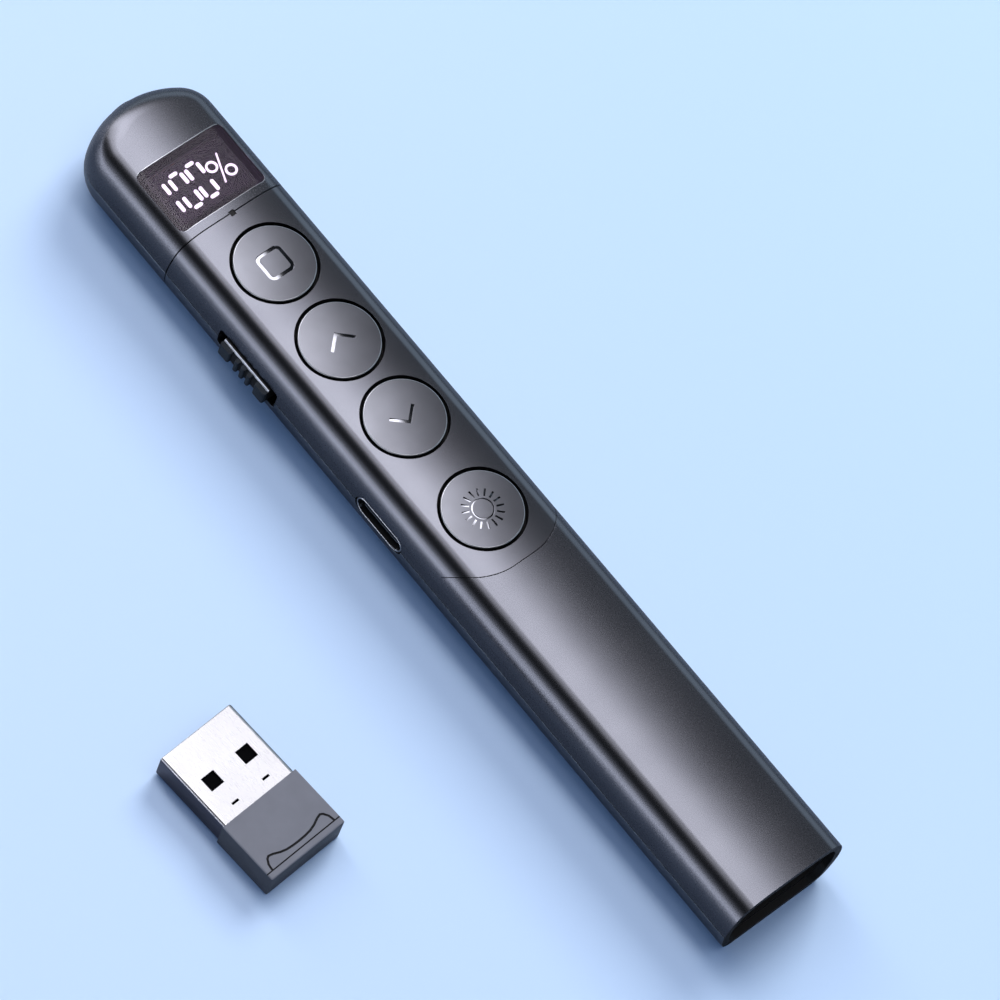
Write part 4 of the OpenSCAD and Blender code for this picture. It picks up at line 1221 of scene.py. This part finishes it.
def make_cap():
    """The cap: a block with rounded edges and a shallow engraving near its end."""
    def block(bm):
        box_in(bm, (-CAP_L, -CAP_W / 2, 0), (0, CAP_W / 2, CAP_H))
    cap = solid_from("receiver_cap_moulding", block)
    soften_rims(cap, CAP_RIM, lambda a, b: min(a.x, b.x) < -0.5, segments=3)
    cap.data.materials.append(cap_plastic)

    def mouth(bm):
        box_in(bm, (-PLUG_ROOT, -PLUG_W / 2, PLUG_LOW), (1, PLUG_W / 2, PLUG_LOW + PLUG_H))
    cut(cap, solid_from("cap_mouth", mouth))

    across = [(CAP_LINE_X, -CAP_W / 2 - 0.1), (CAP_LINE_X, CAP_W / 2 + 0.1)]
    # the grooves take the near-black painted shade
    for name, path, (half, depth) in (("cap_line", across, CAP_LINE),
                                      ("cap_bow", even_steps(bow_line(), 0.6), CAP_BOW)):
        def groove(bm):
            ribbon(bm, path, half, lambda x, y: CAP_H - depth, CAP_H + 0.2)
        cut(cap, solid_from(name, groove), gap_and_groove_shade)
    # painted shade: the cap's sides take the darker plastic
    cap.data.materials.append(cap_side_painted_shade)
    for face in cap.data.polygons:
        if face.material_index == 0 and face.normal.z < 0.3:
            face.material_index = len(cap.data.materials) - 1
    in_receiver(cap)
    smooth(cap, flat_normals)
    dress(cap, None, "receiver", "cap_plastic", "receiver_cap")


make_plug()
make_cap()


# ---- floor, light and camera ----

# The table reaches this far each way, and lies this little below the clicker's underside.
TABLE_HALF = 3000
TABLE_SINK = 0.02


def make_floor():
    """A pale blue-white table with a satin surface. Metal mirrors it darker: painted shade, standing in
    for dark surroundings beside the clicker.
    """
    material, tree, coords = new_material("pale_satin_table")
    patches = spread(tree, noise(tree, coords, 400.0), 0.0, 1.0)
    tone = add_node(tree, "ShaderNodeMix", {
        0: patches, 6: linear("#c4daf2"), 7: linear("#bcd6f0")}, data_type="RGBA")
    # painted shade: in reflections the table shows this darker colour
    mirrored = add_node(tree, "ShaderNodeLightPath").outputs["Is Glossy Ray"]
    dimmed = add_node(tree, "ShaderNodeMix", {
        0: mirrored, 6: tone.outputs[2], 7: linear("#7f8c9c")}, data_type="RGBA")
    shader = add_node(tree, "ShaderNodeBsdfPrincipled", {
        "Base Color": dimmed.outputs[2], "Roughness": 0.32, "IOR": 1.33})
    add_node(tree, "ShaderNodeOutputMaterial", {"Surface": shader.outputs["BSDF"]})

    def build(bm):
        bmesh.ops.create_grid(bm, x_segments=1, y_segments=1, size=TABLE_HALF)
        bmesh.ops.translate(bm, vec=(0, 0, -TABLE_SINK), verts=bm.verts)
    floor = solid_from("table_top", build)
    floor.data.materials.append(material)


# Soft square lamps aimed at the clicker: place and side in metres, radiance and colour. They light
# the table and the plain plastics, and don't show in the lacquer.
LAMPS = {
    "far_side_lamp": ((0.35, -1.0, 0.95), 0.7, 10.5, "#fdfcff"),
    "sky_fill": ((0.0, 0.3, 1.6), 2.4, 0.1, "#a3c4ff"),
}


def make_lamp(name, place, side, radiance, colour):
    """A soft square lamp. Its power gives it the same brightness whatever its size."""
    data = bpy.data.lights.new(name, "AREA")
    data.shape = "SQUARE"
    data.size = side
    data.energy = radiance * math.pi * side * side
    data.color = linear(colour)[:3]
    lamp = add_object(name, data)
    lamp.location = place
    aim = (Vector() - Vector(place)).to_track_quat("-Z", "Y")
    lamp.rotation_euler = aim.to_euler()
    lamp.visible_camera = False
    lamp.visible_glossy = False
    lamp.visible_transmission = False


def soft_band(tree, value, centre, half, soft):
    """1 within half of the centre, and 0 beyond, with an edge that is soft on both sides of it."""
    away = add_node(tree, "ShaderNodeMath", {0: value, 1: centre}, operation="SUBTRACT")
    size = add_node(tree, "ShaderNodeMath", {0: away.outputs[0]}, operation="ABSOLUTE")
    return add_node(tree, "ShaderNodeMapRange", {
        "Value": size.outputs[0], "From Min": half + soft, "From Max": half - soft,
        "To Min": 0.0, "To Max": 1.0}, interpolation_type="SMOOTHSTEP").outputs["Result"]


# Panels of the dark tent round the table: lean to the switch side from straight up, half width and
# soft edge, in degrees; middle, half width and soft edge along the clicker, from -1 at its tail to 1
# at its nose; radiance and colour.
PANELS = {
    "overhead": (-10.8, 6.0, 4.2, (0.3, 0.8, 0.15), 5.3, "#fdfaff"),
    "overhead_spill": (8.0, 8.0, 8.0, (0.3, 0.8, 0.15), 0.95, "#fdfaff"),
    "overhead_by_the_nose": (-20.5, 5.0, 5.0, (0.95, 0.695, 0.015), 4.8, "#fdfaff"),
    "spill_by_the_nose": (5.0, 9.0, 9.0, (0.95, 0.715, 0.03), 2.2, "#fdfaff"),
    "switch_side": (88.0, 5.0, 4.0, (0.2, 0.9, 0.2), 4.6, "#f0f3ff"),
    "switch_side_spill": (78.0, 14.0, 14.0, (0.2, 0.9, 0.2), 0.6, "#f0f3ff"),
    "far_side": (-65.0, 17.0, 6.0, (0.0, 1.0, 0.1), 1.25, "#c6d8e6"),
}
# The tent between the panels, the even sky that matt surfaces get, and the room that the camera sees.
TENT = (0.025, "#a9c4d8")
SKY = (0.24, "#8fbeff")
ROOM = (1.0, "#dbe5f5")


def background(tree, strength, colour):
    """Light of one colour, the same from every direction or as strong as a node says."""
    return add_node(tree, "ShaderNodeBackground", {
        "Color": linear(colour), "Strength": strength}).outputs[0]


def make_world():
    """A dark tent with soft panels, and a pale room where the camera sees past the table."""
    world = bpy.data.worlds.new("studio")
    bpy.context.scene.world = world
    world.use_nodes = True
    tree = world.node_tree
    tree.nodes.clear()
    coords = add_node(tree, "ShaderNodeTexCoord").outputs["Generated"]
    ways = add_node(tree, "ShaderNodeSeparateXYZ", {"Vector": coords}).outputs
    lean = add_node(tree, "ShaderNodeMath", {0: ways["Y"], 1: ways["Z"]}, operation="ARCTAN2")
    glow = background(tree, *TENT)
    for centre, half, soft, reach, radiance, colour in PANELS.values():
        across = soft_band(tree, lean.outputs[0], *[math.radians(v) for v in (centre, half, soft)])
        along = soft_band(tree, ways["X"], *reach)
        both = add_node(tree, "ShaderNodeMath", {0: across, 1: along}, operation="MULTIPLY")
        level = add_node(tree, "ShaderNodeMath", {0: both.outputs[0], 1: radiance},
                         operation="MULTIPLY")
        panel = background(tree, level.outputs[0], colour)
        glow = add_node(tree, "ShaderNodeAddShader", {0: glow, 1: panel}).outputs[0]
    path = add_node(tree, "ShaderNodeLightPath")
    # matt surfaces get an even blue sky in place of the panels, so that the shadows stay blue
    lit = add_node(tree, "ShaderNodeMixShader", {
        0: path.outputs["Is Diffuse Ray"], 1: glow, 2: background(tree, *SKY)})
    seen = add_node(tree, "ShaderNodeMixShader", {
        0: path.outputs["Is Camera Ray"], 1: lit.outputs[0], 2: background(tree, *ROOM)})
    add_node(tree, "ShaderNodeOutputWorld", {"Surface": seen.outputs["Shader"]})


# Where the camera stands, the point it looks at, its roll in degrees, and its lens and sensor width.
CAMERA_PLACE = (-193.757, 346.901, 763.766)
CAMERA_TARGET = (-4.462, -5.49, 6.0)
CAMERA_ROLL = 24.3311
CAMERA_LENS = 242.777
CAMERA_SENSOR = 36


def make_camera():
    """A long lens high over the switch side, rolled so that the clicker lies across the frame."""
    place = at(*CAMERA_PLACE)
    forward = (at(*CAMERA_TARGET) - place).normalized()
    level = forward.cross(UP).normalized()
    over = level.cross(forward)
    roll = math.radians(CAMERA_ROLL)
    right = level * math.cos(roll) + over * math.sin(roll)
    up = right.cross(forward)
    data = bpy.data.cameras.new("view")
    data.sensor_width = CAMERA_SENSOR
    data.lens = CAMERA_LENS
    camera = add_object("view", data)
    camera.matrix_world = Matrix.Translation(place) @ Matrix((right, up, -forward)).transposed().to_4x4()
    bpy.context.scene.camera = camera


make_floor()
make_world()
for name, settings in LAMPS.items():
    make_lamp(name, *settings)
make_camera()

bpy.context.scene.view_settings.view_transform = "Standard"
